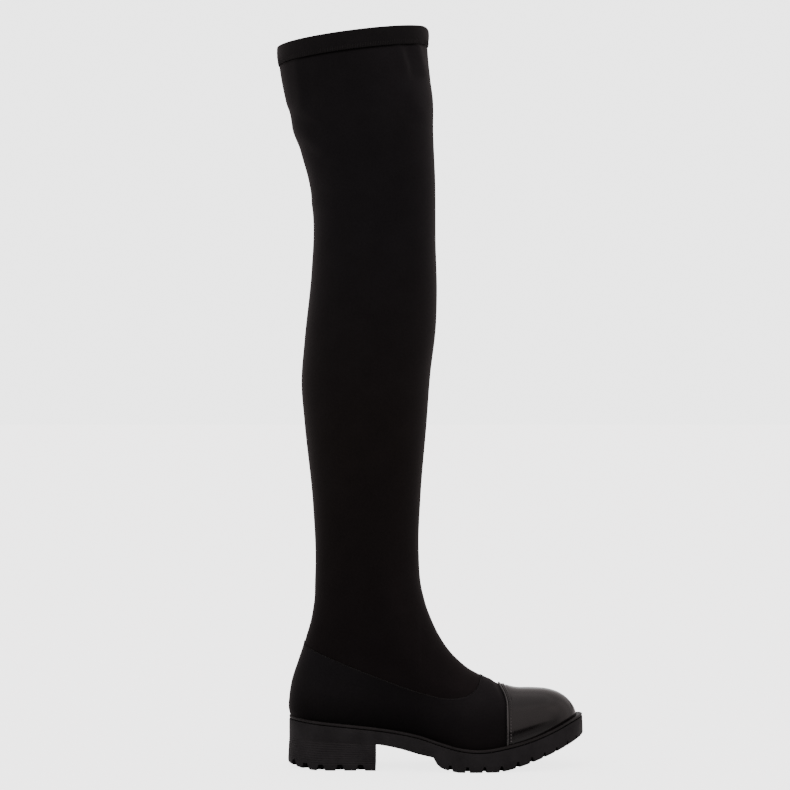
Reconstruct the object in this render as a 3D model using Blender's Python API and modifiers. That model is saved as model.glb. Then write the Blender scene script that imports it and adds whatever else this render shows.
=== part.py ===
"""Over-the-knee stretch boot for the right foot, about EU 37 to 38.

Sizes are in millimetres and become metres when a mesh is made. x runs from the back of the sole to the toe,
y to the inner side of the foot and z up from the floor.
"""
import math
from collections import namedtuple

import bmesh
import bpy
import numpy as np
from mathutils import Matrix

# Frame
MM = 0.001
FRAME_X = 127.0
GAP = 0.3
WELD = 0.01

# Driving sizes
SOLE_LENGTH = 265.0
WALL = 1.6
PANEL = 0.9
WELT_HEIGHT = 2.7
WELT_SEAT = 0.5
WELT_CLEARANCE = 0.6
WELT_ROUND = 0.8
FEATHER_LIFT = 0.5
ANKLE_Z = 190.0
COLLAR_BACK_Z = 646.5
COLLAR_FRONT_Z = 663.8

# Side outline of the upper and shaft, from floor level up
ProfileRow = namedtuple("ProfileRow", "x z")
BACK_LINE = [
    ProfileRow(3.4, 38.0), ProfileRow(1.8, 46.5), ProfileRow(0.4, 53.0), ProfileRow(0.8, 62.0),
    ProfileRow(3.2, 77.4), ProfileRow(9.0, 95.4), ProfileRow(15.0, 113.4), ProfileRow(20.4, 131.4),
    ProfileRow(24.3, 175.0), ProfileRow(22.1, 237.6), ProfileRow(14.6, 309.6), ProfileRow(11.9, 345.6),
    ProfileRow(14.5, 381.6), ProfileRow(21.0, 446.0), ProfileRow(22.6, 489.6), ProfileRow(18.6, 525.6),
    ProfileRow(8.0, 561.6), ProfileRow(-2.1, 597.6), ProfileRow(-8.0, 630.0), ProfileRow(-9.1, 652.0),
]
FRONT_LINE = [
    ProfileRow(259.2, 38.0), ProfileRow(259.0, 49.5), ProfileRow(252.8, 59.7), ProfileRow(244.8, 65.7),
    ProfileRow(234.0, 69.4), ProfileRow(219.0, 70.7), ProfileRow(203.8, 71.2), ProfileRow(195.0, 73.5),
    ProfileRow(184.6, 77.6), ProfileRow(173.3, 82.3), ProfileRow(163.7, 87.2), ProfileRow(153.2, 95.6),
    ProfileRow(144.8, 104.4), ProfileRow(136.3, 117.0), ProfileRow(127.0, 137.0), ProfileRow(119.8, 162.0),
    ProfileRow(117.6, 192.0), ProfileRow(119.4, 245.0), ProfileRow(124.8, 309.6), ProfileRow(128.0, 352.0),
    ProfileRow(133.0, 395.0), ProfileRow(134.0, 425.0), ProfileRow(132.9, 470.0), ProfileRow(132.5, 525.0),
    ProfileRow(130.6, 575.0), ProfileRow(130.5, 598.0), ProfileRow(127.6, 621.0), ProfileRow(125.4, 648.0),
    ProfileRow(125.4, 668.0),
]

# Foot sections across the boot: centre and half width of the feather line, and the shape of the arch above it
FootRow = namedtuple("FootRow", "x centre half_width dome side")
FOOT_SECTIONS = [
    FootRow(0.0, 0.0, 31.0, 2.0, 2.0), FootRow(32.0, 0.0, 31.0, 2.0, 2.0), FootRow(62.0, -0.5, 30.0, 1.8, 1.8),
    FootRow(95.0, -2.0, 30.5, 1.6, 1.6), FootRow(130.0, -2.5, 38.5, 1.6, 1.6),
    FootRow(165.0, -1.0, 44.0, 1.8, 1.7), FootRow(190.0, 1.5, 43.5, 2.1, 2.0),
    FootRow(215.0, 4.0, 40.0, 2.4, 2.2), FootRow(259.2, 6.5, 36.0, 2.4, 2.2),
]
HEEL_ROUND = 31.0
TOE_ROUND = 50.0
TOE_POWER = 2.25
HEEL_REACH = 105.0

# Shaft sections: half width of the leg and how square its outline is
ShaftRow = namedtuple("ShaftRow", "z half_width square")
SHAFT_SECTIONS = [
    ShaftRow(40.0, 31.0, 2.1), ShaftRow(120.0, 33.5, 2.1), ShaftRow(185.0, 36.0, 2.1),
    ShaftRow(245.0, 43.0, 2.1), ShaftRow(305.0, 51.0, 2.1), ShaftRow(360.0, 55.0, 2.1),
    ShaftRow(420.0, 54.5, 2.1), ShaftRow(490.0, 52.5, 2.1), ShaftRow(560.0, 55.5, 2.1),
    ShaftRow(668.0, 60.5, 2.1),
]
FOOT_TO_LEG = (72.0, 150.0)
LEG_STEEPNESS = 8.0

# Foot seam: its height by the turn round the boot, from the heel at 0 to the instep at 180 degrees
SeamRow = namedtuple("SeamRow", "turn z")
SEAM_LINE = [
    SeamRow(0.0, 113.0), SeamRow(45.0, 99.6), SeamRow(75.0, 85.0), SeamRow(100.0, 72.5),
    SeamRow(128.0, 63.5), SeamRow(147.0, 65.5), SeamRow(165.0, 73.0), SeamRow(180.0, 82.0),
]
SEAM_FRONT_X = 173.0

# Sole: height of the welt's top along the foot, plan outline and underside
LineRow = namedtuple("LineRow", "x z")
WELT_LINE = [
    LineRow(0.0, 47.0), LineRow(24.0, 44.0), LineRow(47.0, 41.5), LineRow(83.0, 37.7),
    LineRow(101.0, 35.2), LineRow(118.0, 32.0), LineRow(136.0, 26.4), LineRow(154.0, 21.6),
    LineRow(172.0, 20.0), LineRow(195.0, 23.2),
    LineRow(217.0, 28.8), LineRow(239.0, 37.4), LineRow(257.0, 45.8), LineRow(265.0, 48.9),
]
PlanRow = namedtuple("PlanRow", "x centre half_width")
SOLE_PLAN = [
    PlanRow(0.0, 0.0, 34.0), PlanRow(34.0, 0.0, 34.0), PlanRow(62.0, -0.5, 33.2), PlanRow(95.0, -2.0, 34.0),
    PlanRow(130.0, -2.5, 42.5), PlanRow(165.0, -1.0, 49.0), PlanRow(190.0, 1.5, 48.5),
    PlanRow(215.0, 4.0, 45.0), PlanRow(265.0, 6.5, 41.0),
]
SOLE_BACK = 0.9
SOLE_HEEL_ROUND = 34.0
SOLE_TOE_ROUND = 55.0
WAIST_LINE = [
    LineRow(0.0, 28.0), LineRow(20.0, 27.2), LineRow(50.0, 25.4), LineRow(79.0, 23.5), LineRow(101.0, 19.6),
    LineRow(119.0, 15.0), LineRow(130.0, 12.9),
]
RAMP_START = 130.0
FLAT_START = 152.0
FLAT_END = 186.0
RAMP_STRAIGHT = 0.35
RAMP_POWER = 6.0
RAMP_PARTS = (0.0, 0.15, 0.35, 0.65, 1.0)
ROCKER_POWER = 1.42
TOE_SPRING = 29.3
SHOULDER = 1.0
WALL_FLARE = 0.5
TREAD_ROUND = 1.5

# Heel block
BREAST_X = 79.0
HEEL_FLAT_X = 34.0
HEEL_LIFT = 4.6
HEEL_LIFT_POWER = 2.2
HEEL_FLARE = 1.0
RIB_TOP_Z = 21.6
RIB_PITCH = 2.4
RIB_COUNT = 6
RIB_DEPTH = 0.5
HEEL_NOTCH_X = (6.5, 16.6, 30.2, 47.2, 65.6)
HEEL_NOTCH = dict(mouth=8.4, roof=3.8, height=5.6, reach=9.0)

# Forefoot lugs
LUG_START_X = 145.0
LUG_PITCH = 15.5
LUG_TOE_PITCH = 12.0
LUG_CLOSING_X = (196.0, 220.0)
LUG_NOTCH = dict(mouth=4.4, roof=2.0, height=5.2)
LUG_REACH = 13.0
LUG_TOE_SHARE = 0.75
LUG_SHRINKING_X = (205.0, 245.0)
CHANNEL_INSET = 14.0
CHANNEL_WIDTH = 4.0
CHANNEL_DEPTH = 4.0
CHANNEL_START_X = 157.0
CHANNEL_END_X = 244.0
CHANNEL_BACK_ROUND = 14.5
CHANNEL_FRONT_ROUND = 29.0
BAR_GROOVE_X = (170.0, 187.0, 204.0, 221.0)
BAR_GROOVE_WIDTH = 4.0
BAR_GROOVE_DEPTH = 3.0
CUT_BEYOND = 4.0
CUT_BELOW = 2.0

# Toe cap and its piping
CAP_CLEARANCE = 0.4
CAP_SIDE_X = 197.7
CAP_SWEEP = 6.8
CAP_SWEEP_Z = (58.0, 76.0)
CAP_SWEEP_POWER = 1.7
CAP_SWEEP_LIMIT = 1.2
CAP_CUT_Z = (10.0, 90.0)
CAP_CUT_STEPS = 17
CAP_CUT_BEYOND = 20.0
CAP_CUT_HALF_WIDTH = 80.0
RECESS_SIDE_RUN = 20.0
RECESS_TOP_RUN = 10.0
RECESS_FLAT = 0.3
PIPING_RADIUS = 0.95
PIPING_END_TURN = 0.06
PIPING_POINTS = 27
ARCH_TURN_STEP = 0.02
ARCH_SHIFT = 0.5
ARCH_ROUNDS = 4

# Collar band
BAND_HEIGHT = 16.5
BAND_INSIDE = 10.0
BAND_BULGE = 0.3
BAND_ROUND = 0.8

# Insole
INSOLE_INSET = 3.4
INSOLE_THICKNESS = 2.5

# Colours and finishes
FOOT_COLOUR = (0.008, 0.007, 0.0075)
LEG_COLOUR = (0.0095, 0.0082, 0.0083)
BAND_COLOUR = (0.0112, 0.0102, 0.0105)
PATENT_COLOUR = (0.0065, 0.0057, 0.0057)
SOLE_COLOUR = (0.0193, 0.0178, 0.0184)
HEEL_COLOUR = (0.023, 0.0214, 0.0221)
WELT_COLOUR = (0.0195, 0.018, 0.0183)
INSOLE_COLOUR = (0.018, 0.017, 0.016)
CLOTH_ROUGHNESS = 0.85
PATENT_ROUGHNESS = 0.12
PIPING_ROUGHNESS = 0.2
RUBBER_ROUGHNESS = 0.5
WELT_ROUGHNESS = 0.45

# Mesh counts
HALF_COLUMNS = 20
FOOT_RINGS = 14
INSTEP_RINGS = 8
LEG_RINGS = 15
PROFILE_SAMPLES = 800
EDGE_SAMPLES = 600
EDGE_STEP = 0.5
CHANNEL_STATIONS = 15


# Curves and small sums

def hermite(keys, values, at):
    """Smooth curve through the values at the keys."""
    keys = np.asarray(keys, float)
    values = np.asarray(values, float)
    slopes = np.gradient(values, keys)
    at = np.clip(np.asarray(at, float), keys[0], keys[-1])
    low = np.clip(np.searchsorted(keys, at, side="right") - 1, 0, len(keys) - 2)
    span = keys[low + 1] - keys[low]
    part = (at - keys[low]) / span
    start = (1 + 2 * part) * (1 - part) ** 2 * values[low] + part * (1 - part) ** 2 * span * slopes[low]
    end = part ** 2 * (3 - 2 * part) * values[low + 1] + part ** 2 * (part - 1) * span * slopes[low + 1]
    return start + end


def read(rows, key, value, at):
    """Value of one column of a table, smoothly between its rows."""
    return hermite([getattr(row, key) for row in rows], [getattr(row, value) for row in rows], at)


def trace(rows):
    """Dense points along a side outline, with the length run so far."""
    points = np.array(rows, float)
    run = np.concatenate([[0.0], np.cumsum(np.linalg.norm(np.diff(points, axis=0), axis=1))])
    at = np.linspace(0.0, run[-1], PROFILE_SAMPLES)
    return hermite(run, points[:, 0], at), hermite(run, points[:, 1], at), at


def ease(value, low, high):
    """0 below low, 1 above high, and a smooth step between."""
    part = np.clip((value - low) / (high - low), 0.0, 1.0)
    return part * part * (3 - 2 * part)


def round_end(distance, radius, power):
    """Fraction of the full width at a distance from a rounded end."""
    part = np.clip(distance / radius, 0.0, 1.0)
    return (1 - (1 - part) ** power) ** (1 / power)


BACK_X, BACK_Z, _ = trace(BACK_LINE)
FRONT_X, FRONT_Z, FRONT_RUN = trace(FRONT_LINE)
ANKLE_SAMPLE = int(np.argmin(FRONT_X))


def back_x(z):
    return np.interp(z, BACK_Z, BACK_X)


def front_x(z):
    return np.interp(z, FRONT_Z, FRONT_X)


def ridge_z(x):
    """Height of the foot's top line; behind the ankle it carries on steeply, as an open leg."""
    on_foot = np.interp(x, FRONT_X[ANKLE_SAMPLE::-1], FRONT_Z[ANKLE_SAMPLE::-1])
    behind = np.clip(FRONT_X[ANKLE_SAMPLE] - x, 0.0, None)
    return on_foot + LEG_STEEPNESS * behind


def sole_top(x):
    return read(WELT_LINE, "x", "z", x) - WELT_HEIGHT - GAP


def feather_z(x):
    return sole_top(x) + FEATHER_LIFT


def sole_bottom(x):
    """Underside of the outsole: waist, ramp, flat tread and rocker to the toe."""
    x = np.asarray(x, float)
    to_flat = np.clip((FLAT_START - x) / (FLAT_START - RAMP_START), 0.0, 1.0)
    ramp = WAIST_LINE[-1].z * (RAMP_STRAIGHT * to_flat + (1 - RAMP_STRAIGHT) * to_flat ** RAMP_POWER)
    rocker_scale = TOE_SPRING / (SOLE_LENGTH - FLAT_END) ** ROCKER_POWER
    rocker = rocker_scale * np.clip(x - FLAT_END, 0.0, None) ** ROCKER_POWER
    return np.where(x < RAMP_START, read(WAIST_LINE, "x", "z", x), ramp + rocker)


def heel_bottom(x):
    return HEEL_LIFT * np.clip((HEEL_FLAT_X - x) / HEEL_FLAT_X, 0.0, None) ** HEEL_LIFT_POWER


# Form of the boot: half width and centre of the section at a place in the side view

def foot_half(x, z):
    heel_x = BACK_LINE[0].x
    toe_x = FRONT_LINE[0].x
    stretch = (HEEL_REACH - heel_x) / (HEEL_REACH - back_x(z))
    plan_x = np.where(x < HEEL_REACH, HEEL_REACH - (HEEL_REACH - x) * stretch, x)
    half = read(FOOT_SECTIONS, "x", "half_width", plan_x)
    half = half * round_end(plan_x - heel_x, HEEL_ROUND, 2.0) * round_end(toe_x - x, TOE_ROUND, TOE_POWER)
    rise = np.clip((z - feather_z(x)) / (ridge_z(x) - feather_z(x)), 0.0, 1.0)
    dome = read(FOOT_SECTIONS, "x", "dome", x)
    side = read(FOOT_SECTIONS, "x", "side", x)
    return half * (1 - rise ** dome) ** (1 / side)


def leg_half(x, z):
    part = np.clip((x - back_x(z)) / (front_x(z) - back_x(z)), 0.0, 1.0)
    square = read(SHAFT_SECTIONS, "z", "square", z)
    outline = (1 - np.abs(2 * part - 1) ** square) ** (1 / square)
    return read(SHAFT_SECTIONS, "z", "half_width", z) * outline


def form_half(x, z):
    leg = ease(z, *FOOT_TO_LEG)
    return (1 - leg) * foot_half(x, z) + leg * leg_half(x, z)


def form_centre(x, z):
    return read(FOOT_SECTIONS, "x", "centre", x) * (1 - ease(z, *FOOT_TO_LEG))


# Rings round the boot: from the heel along the outer side to the front, and back along the inner side

TURN = np.linspace(0.0, math.pi, HALF_COLUMNS + 1)
PART = (1 - np.cos(TURN)) / 2


def both_sides(x, z, half, centre):
    outer = np.column_stack([x, centre - half, z])
    inner = np.column_stack([x, centre + half, z])
    return np.vstack([outer, inner[-2:0:-1]])


def ring_between(back_z, front, heights):
    """Ring from the back line at one height to a point of the front line, along the given heights."""
    start_x = float(back_x(back_z))
    x = start_x + (front[0] - start_x) * PART
    z = heights(x)
    z = z + (back_z - z[0]) * (1 - PART) ** 3 + (front[1] - z[-1]) * PART ** 3
    return both_sides(x, z, form_half(x, z), form_centre(x, z))


def front_point(run):
    return float(np.interp(run, FRONT_RUN, FRONT_X)), float(np.interp(run, FRONT_RUN, FRONT_Z))


def front_run_at_z(z):
    return float(np.interp(z, FRONT_Z, FRONT_RUN))


def seam_z():
    return read(SEAM_LINE, "turn", "z", np.degrees(TURN))


SEAM_BACK_Z = SEAM_LINE[0].z
SEAM_RUN = front_run_at_z(float(ridge_z(SEAM_FRONT_X)))
TOE_RUN = front_run_at_z(float(feather_z(FRONT_LINE[0].x)))
FEATHER_BACK_Z = float(feather_z(BACK_LINE[0].x))


def foot_ring(level):
    """Ring of the foot, from the feather line at level 0 to the foot seam at level 1."""
    back = FEATHER_BACK_Z + (SEAM_BACK_Z - FEATHER_BACK_Z) * level
    front = front_point(TOE_RUN + (SEAM_RUN - TOE_RUN) * level)
    return ring_between(back, front, lambda x: (1 - level) * feather_z(x) + level * seam_z())


def instep_ring(level):
    """Ring of the ankle, from the foot seam at level 0 to the narrow ankle at level 1."""
    back = SEAM_BACK_Z + (ANKLE_Z - SEAM_BACK_Z) * level
    ankle_run = front_run_at_z(ANKLE_Z)
    front = front_point(SEAM_RUN + (ankle_run - SEAM_RUN) * level)
    return ring_between(back, front, lambda x: (1 - level) * seam_z() + level * ANKLE_Z)


def leg_ring(back_z, front_z):
    front = front_point(front_run_at_z(front_z))
    return ring_between(back_z, front, lambda x: back_z + (front_z - back_z) * PART)


def ring_normals(rings):
    """Outward normal at each point of a stack of rings that rises."""
    grid = np.asarray(rings)
    along = np.roll(grid, -1, axis=1) - np.roll(grid, 1, axis=1)
    up = np.gradient(grid, axis=0)
    normal = np.cross(along, up)
    return normal / np.linalg.norm(normal, axis=2, keepdims=True)


def sink(rings, depth):
    """Rings moved inwards, by a depth for each point or one for all."""
    grid = np.asarray(rings)
    depth = np.broadcast_to(depth, grid.shape[:2])
    return grid - ring_normals(grid) * depth[..., None]


def cap_edge_x(z):
    """Back edge of the toe cap: upright at the side, swept back over the top of the foot."""
    low, high = CAP_SWEEP_Z
    part = np.clip((z - low) / (high - low), 0.0, CAP_SWEEP_LIMIT)
    return CAP_SIDE_X - CAP_SWEEP * part ** CAP_SWEEP_POWER


def foot_skin():
    """Outer face of the upper, let in under the toe cap so that the cap lies flush."""
    rings = np.array([foot_ring(level) for level in np.linspace(0.0, 1.0, FOOT_RINGS)])
    ahead = rings[..., 0] - cap_edge_x(rings[..., 2])
    run = RECESS_SIDE_RUN + (RECESS_TOP_RUN - RECESS_SIDE_RUN) * ease(rings[..., 2], *CAP_SWEEP_Z)
    return sink(rings, (PANEL + CAP_CLEARANCE) * ease(ahead / run, -1.0, -RECESS_FLAT))


# Blender objects

def remove_everything():
    for thing in list(bpy.data.objects):
        bpy.data.objects.remove(thing, do_unlink=True)


def new_collection(name):
    collection = bpy.data.collections.new(name)
    bpy.context.scene.collection.children.link(collection)
    return collection


def new_material(name, colour, roughness, coat=0.0):
    material = bpy.data.materials.new(name)
    material.use_nodes = True
    shader = material.node_tree.nodes["Principled BSDF"]
    shader.inputs["Base Color"].default_value = (*colour, 1.0)
    shader.inputs["Roughness"].default_value = roughness
    shader.inputs["Metallic"].default_value = 0.0
    shader.inputs["Coat Weight"].default_value = coat
    return material


def to_frame(point):
    return ((point[0] - FRAME_X) * MM, point[1] * MM, point[2] * MM)


def new_object(name, bm, collection, material=None):
    bmesh.ops.recalc_face_normals(bm, faces=bm.faces)
    mesh = bpy.data.meshes.new(name)
    bm.to_mesh(mesh)
    bm.free()
    thing = bpy.data.objects.new(name, mesh)
    collection.objects.link(thing)
    if material:
        mesh.materials.append(material)
    return thing


def hide_as_cutter(cutter):
    cutter.hide_render = True
    cutter.display_type = "WIRE"
    return cutter


def bridge(bm, low, high, closed=True):
    """Quads between two rows of vertices."""
    count = len(low)
    for here in range(count if closed else count - 1):
        ahead = (here + 1) % count
        bm.faces.new((low[here], low[ahead], high[ahead], high[here]))


def cover(bm, ring, first_pair):
    """Closes a ring with strips across it; pairs start at vertex 0 and at first_pair."""
    count = len(ring)
    other = first_pair
    for here in range(count):
        ahead = here + 1
        other_ahead = (other - 1) % count
        corners = [ring[here], ring[ahead % count], ring[other_ahead], ring[other % count]]
        corners = list(dict.fromkeys(corners))
        if len(corners) < 3:
            break
        bm.faces.new(corners)
        if ahead % count == other_ahead or (ahead + 1) % count == other_ahead:
            break
        other = other_ahead


def rows_of_vertices(bm, rings):
    return [[bm.verts.new(to_frame(point)) for point in ring] for ring in rings]


def shell_mesh(rings):
    """Open skin through a stack of rings."""
    bm = bmesh.new()
    rows = rows_of_vertices(bm, rings)
    for low, high in zip(rows, rows[1:]):
        bridge(bm, low, high)
    return bm


def hoop_mesh(rings):
    """Closed hoop through rings that come back to the first one."""
    bm = bmesh.new()
    rows = rows_of_vertices(bm, rings)
    for low, high in zip(rows, rows[1:] + rows[:1]):
        bridge(bm, low, high)
    return bm


def block_mesh(rings, first_pair):
    """Solid through a stack of rings, closed across its top and bottom."""
    bm = bmesh.new()
    rows = rows_of_vertices(bm, rings)
    for low, high in zip(rows, rows[1:]):
        bridge(bm, low, high)
    cover(bm, rows[0], first_pair)
    cover(bm, rows[-1], first_pair)
    return bm


def add_wall(thing, thickness, offset):
    wall = thing.modifiers.new("wall", "SOLIDIFY")
    wall.thickness = thickness * MM
    wall.offset = offset
    wall.use_even_offset = True
    return wall


def add_cut(thing, cutter, operation="DIFFERENCE"):
    cut = thing.modifiers.new(cutter.name, "BOOLEAN")
    cut.operation = operation
    cut.solver = "EXACT"
    cut.object = cutter
    return cut


# Upper, shaft and what is sewn to them

def make_upper(parts):
    cloth = new_material("foot_cloth", FOOT_COLOUR, CLOTH_ROUGHNESS)
    upper = new_object("upper", shell_mesh(foot_skin()), parts, cloth)
    add_wall(upper, WALL, -1.0)
    return upper


def collar_ring(drop):
    """Ring of the leg at a drop below the collar edge."""
    return leg_ring(COLLAR_BACK_Z - drop, COLLAR_FRONT_Z - drop)


def shaft_rings():
    seam_gap = GAP / (ANKLE_Z - SEAM_BACK_Z)
    rings = [instep_ring(level) for level in np.linspace(seam_gap, 1.0, INSTEP_RINGS + 1)]
    band_back = COLLAR_BACK_Z - BAND_HEIGHT - ANKLE_Z
    band_front = COLLAR_FRONT_Z - BAND_HEIGHT - ANKLE_Z
    for level in np.linspace(0.0, 1.0, LEG_RINGS)[1:]:
        rings.append(leg_ring(ANKLE_Z + band_back * level, ANKLE_Z + band_front * level))
    rings.append(collar_ring(PANEL + GAP))
    return rings


def make_shaft(parts):
    cloth = new_material("leg_cloth", LEG_COLOUR, CLOTH_ROUGHNESS)
    shaft = new_object("shaft", shell_mesh(shaft_rings()), parts, cloth)
    add_wall(shaft, WALL, -1.0)
    return shaft


def band_level(drop, depth):
    """Ring of the band, moved in from the shaft's face by a depth, or out by a negative one."""
    return sink([collar_ring(drop + step) for step in (1.0, 0.0, -1.0)], depth)[1]


def make_collar_band(parts):
    outside = -(PANEL + GAP)
    inside = WALL + GAP
    rings = [
        band_level(BAND_HEIGHT, -GAP),
        band_level(BAND_HEIGHT, outside),
        band_level(BAND_HEIGHT / 2, outside - BAND_BULGE),
        band_level(BAND_ROUND, outside),
        band_level(0.0, outside + BAND_ROUND),
        band_level(0.0, inside + PANEL - BAND_ROUND),
        band_level(BAND_ROUND, inside + PANEL),
        band_level(BAND_INSIDE, inside + PANEL),
        band_level(BAND_INSIDE, inside),
        band_level(PANEL, inside),
        band_level(PANEL, -GAP),
    ]
    cloth = new_material("band_cloth", BAND_COLOUR, CLOTH_ROUGHNESS)
    return new_object("collar_band", hoop_mesh(rings), parts, cloth)


def make_prism(name, outline, reach, cutters):
    """Solid with a side outline, run through the boot from side to side."""
    curve = bpy.data.curves.new(name, "CURVE")
    curve.dimensions = "2D"
    curve.fill_mode = "BOTH"
    curve.extrude = reach * MM
    spline = curve.splines.new("POLY")
    spline.points.add(len(outline) - 1)
    for point, (x, z) in zip(spline.points, outline):
        point.co = ((x - FRAME_X) * MM, z * MM, 0.0, 1.0)
    spline.use_cyclic_u = True
    flat = bpy.data.objects.new(name + "_outline", curve)
    bpy.context.scene.collection.objects.link(flat)
    bpy.context.view_layer.update()
    evaluated = flat.evaluated_get(bpy.context.evaluated_depsgraph_get())
    mesh = bpy.data.meshes.new_from_object(evaluated)
    bpy.data.objects.remove(flat)
    bm = bmesh.new()
    bm.from_mesh(mesh)
    bmesh.ops.remove_doubles(bm, verts=bm.verts, dist=WELD * MM)
    bm.transform(Matrix.Rotation(math.radians(90.0), 4, "X"))
    return hide_as_cutter(new_object(name, bm, cutters))


def make_toe_cap(parts, cutters):
    skin = foot_skin()
    first = HALF_COLUMNS // 2
    patch = skin[:-2, first:2 * HALF_COLUMNS - first + 1]
    bm = bmesh.new()
    rows = rows_of_vertices(bm, patch)
    for low, high in zip(rows, rows[1:]):
        bridge(bm, low, high, closed=False)
    cap = new_object("toe_cap", bm, parts, new_material("patent", PATENT_COLOUR, PATENT_ROUGHNESS, coat=1.0))
    lift = cap.modifiers.new("clearance", "DISPLACE")
    lift.strength = CAP_CLEARANCE * MM
    lift.mid_level = 0.0
    add_wall(cap, PANEL, 1.0)
    low, high = CAP_CUT_Z
    beyond = SOLE_LENGTH + CAP_CUT_BEYOND
    outline = [(float(cap_edge_x(z)), float(z)) for z in np.linspace(low, high, CAP_CUT_STEPS)]
    outline += [(beyond, high), (beyond, low)]
    add_cut(cap, make_prism("cap_cutter", outline, CAP_CUT_HALF_WIDTH, cutters), "INTERSECT")
    return cap


def arch_points(turns, behind, lift):
    """Points over the foot along the back edge of the cap, a little behind it and lifted off the upper."""
    def surface(turn, shift):
        rise = np.abs(np.sin(turn))
        x = np.full_like(turn, CAP_SIDE_X)
        for _ in range(ARCH_ROUNDS):
            z = feather_z(x) + (ridge_z(x) - feather_z(x)) * rise ** (2 / read(FOOT_SECTIONS, "x", "dome", x))
            x = cap_edge_x(z) - behind + shift
        half = read(FOOT_SECTIONS, "x", "half_width", x) * round_end(FRONT_LINE[0].x - x, TOE_ROUND, TOE_POWER)
        across = np.sign(np.cos(turn)) * np.abs(np.cos(turn)) ** (2 / read(FOOT_SECTIONS, "x", "side", x))
        return np.column_stack([x, form_centre(x, z) - half * across, z])

    over = surface(turns + ARCH_TURN_STEP, 0.0) - surface(turns - ARCH_TURN_STEP, 0.0)
    ahead = surface(turns, ARCH_SHIFT) - surface(turns, -ARCH_SHIFT)
    normal = np.cross(ahead, over)
    normal /= np.linalg.norm(normal, axis=1, keepdims=True)
    return surface(turns, 0.0) + normal * lift


def make_cap_piping(parts):
    behind = PIPING_RADIUS + 2 * GAP
    turns = np.linspace(PIPING_END_TURN, math.pi - PIPING_END_TURN, PIPING_POINTS)
    points = arch_points(turns, behind, PIPING_RADIUS + GAP - PANEL - CAP_CLEARANCE)
    curve = bpy.data.curves.new("cap_piping", "CURVE")
    curve.dimensions = "3D"
    curve.bevel_depth = PIPING_RADIUS * MM
    curve.bevel_resolution = 2
    curve.use_fill_caps = True
    spline = curve.splines.new("POLY")
    spline.points.add(len(points) - 1)
    for point, place in zip(spline.points, points):
        point.co = (*to_frame(place), 1.0)
    piping = bpy.data.objects.new("cap_piping", curve)
    parts.objects.link(piping)
    curve.materials.append(new_material("piping_patent", PATENT_COLOUR, PIPING_ROUGHNESS, coat=1.0))
    return piping


# Sole

def sole_half(x):
    half = read(SOLE_PLAN, "x", "half_width", x)
    half = half * round_end(x - SOLE_BACK, SOLE_HEEL_ROUND, 2.0)
    return half * round_end(SOLE_LENGTH - x, SOLE_TOE_ROUND, TOE_POWER)


def sole_centre(x):
    return read(SOLE_PLAN, "x", "centre", x)


def end_stations(count):
    """Places along a rounded end, close together at its tip."""
    return 1 - np.cos(np.linspace(0.0, math.pi / 2, count))


def sole_stations():
    heel = SOLE_BACK + SOLE_HEEL_ROUND * end_stations(6)
    waist = np.linspace(heel[-1], RAMP_START, 8)
    ramp = RAMP_START + (FLAT_START - RAMP_START) * np.array(RAMP_PARTS)
    flat = np.linspace(FLAT_START, FLAT_END, 4)
    rocker = np.linspace(FLAT_END, SOLE_LENGTH - SOLE_TOE_ROUND, 4)
    toe = SOLE_LENGTH - SOLE_TOE_ROUND * end_stations(9)[::-1]
    return np.concatenate([heel, waist[1:], ramp[1:], flat[1:], rocker[1:], toe[1:]])


def inset_ring(ring, inset):
    """Ring moved inwards in plan, square to its outline."""
    along = np.roll(ring, -1, axis=0) - np.roll(ring, 1, axis=0)
    normal = np.column_stack([-along[:, 1], along[:, 0], np.zeros(len(ring))])
    normal /= np.linalg.norm(normal, axis=1, keepdims=True)
    return ring + normal * inset


def sole_ring(stations, inset, height):
    ring = both_sides(stations, np.zeros_like(stations), sole_half(stations), sole_centre(stations))
    ring = inset_ring(ring, inset)
    ring[:, 2] = height(ring[:, 0])
    return ring


def inward(x, side):
    """Direction into the sole, square to its edge, at a place on one side."""
    low = np.clip(x - EDGE_STEP, SOLE_BACK, SOLE_LENGTH)
    high = np.clip(x + EDGE_STEP, SOLE_BACK, SOLE_LENGTH)
    rise = side * (sole_half(high) - sole_half(low)) + sole_centre(high) - sole_centre(low)
    along = np.array([float(high - low), float(rise), 0.0])
    along /= np.linalg.norm(along)
    return np.array([side * along[1], -side * along[0], 0.0]), along


def edge_point(x, side):
    return np.array([float(x), float(sole_centre(x) + side * sole_half(x)), 0.0])


def add_wedge(bm, edge, into, along, floor, mouth, roof, height, reach):
    """One notch: a bar from outside the edge to its reach inside, narrower at its roof than at its mouth."""
    corners = []
    wide = mouth + (mouth - roof) * CUT_BELOW / height
    for level, width in ((floor - CUT_BELOW, wide), (floor + height, roof)):
        for depth in (-CUT_BEYOND, reach):
            for side in (-0.5, 0.5):
                place = edge + into * depth + along * (side * width)
                corners.append(bm.verts.new(to_frame((place[0], place[1], level))))
    for face in ((0, 1, 3, 2), (4, 5, 7, 6), (0, 1, 5, 4), (2, 3, 7, 6), (0, 2, 6, 4), (1, 3, 7, 5)):
        bm.faces.new([corners[index] for index in face])


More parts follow.
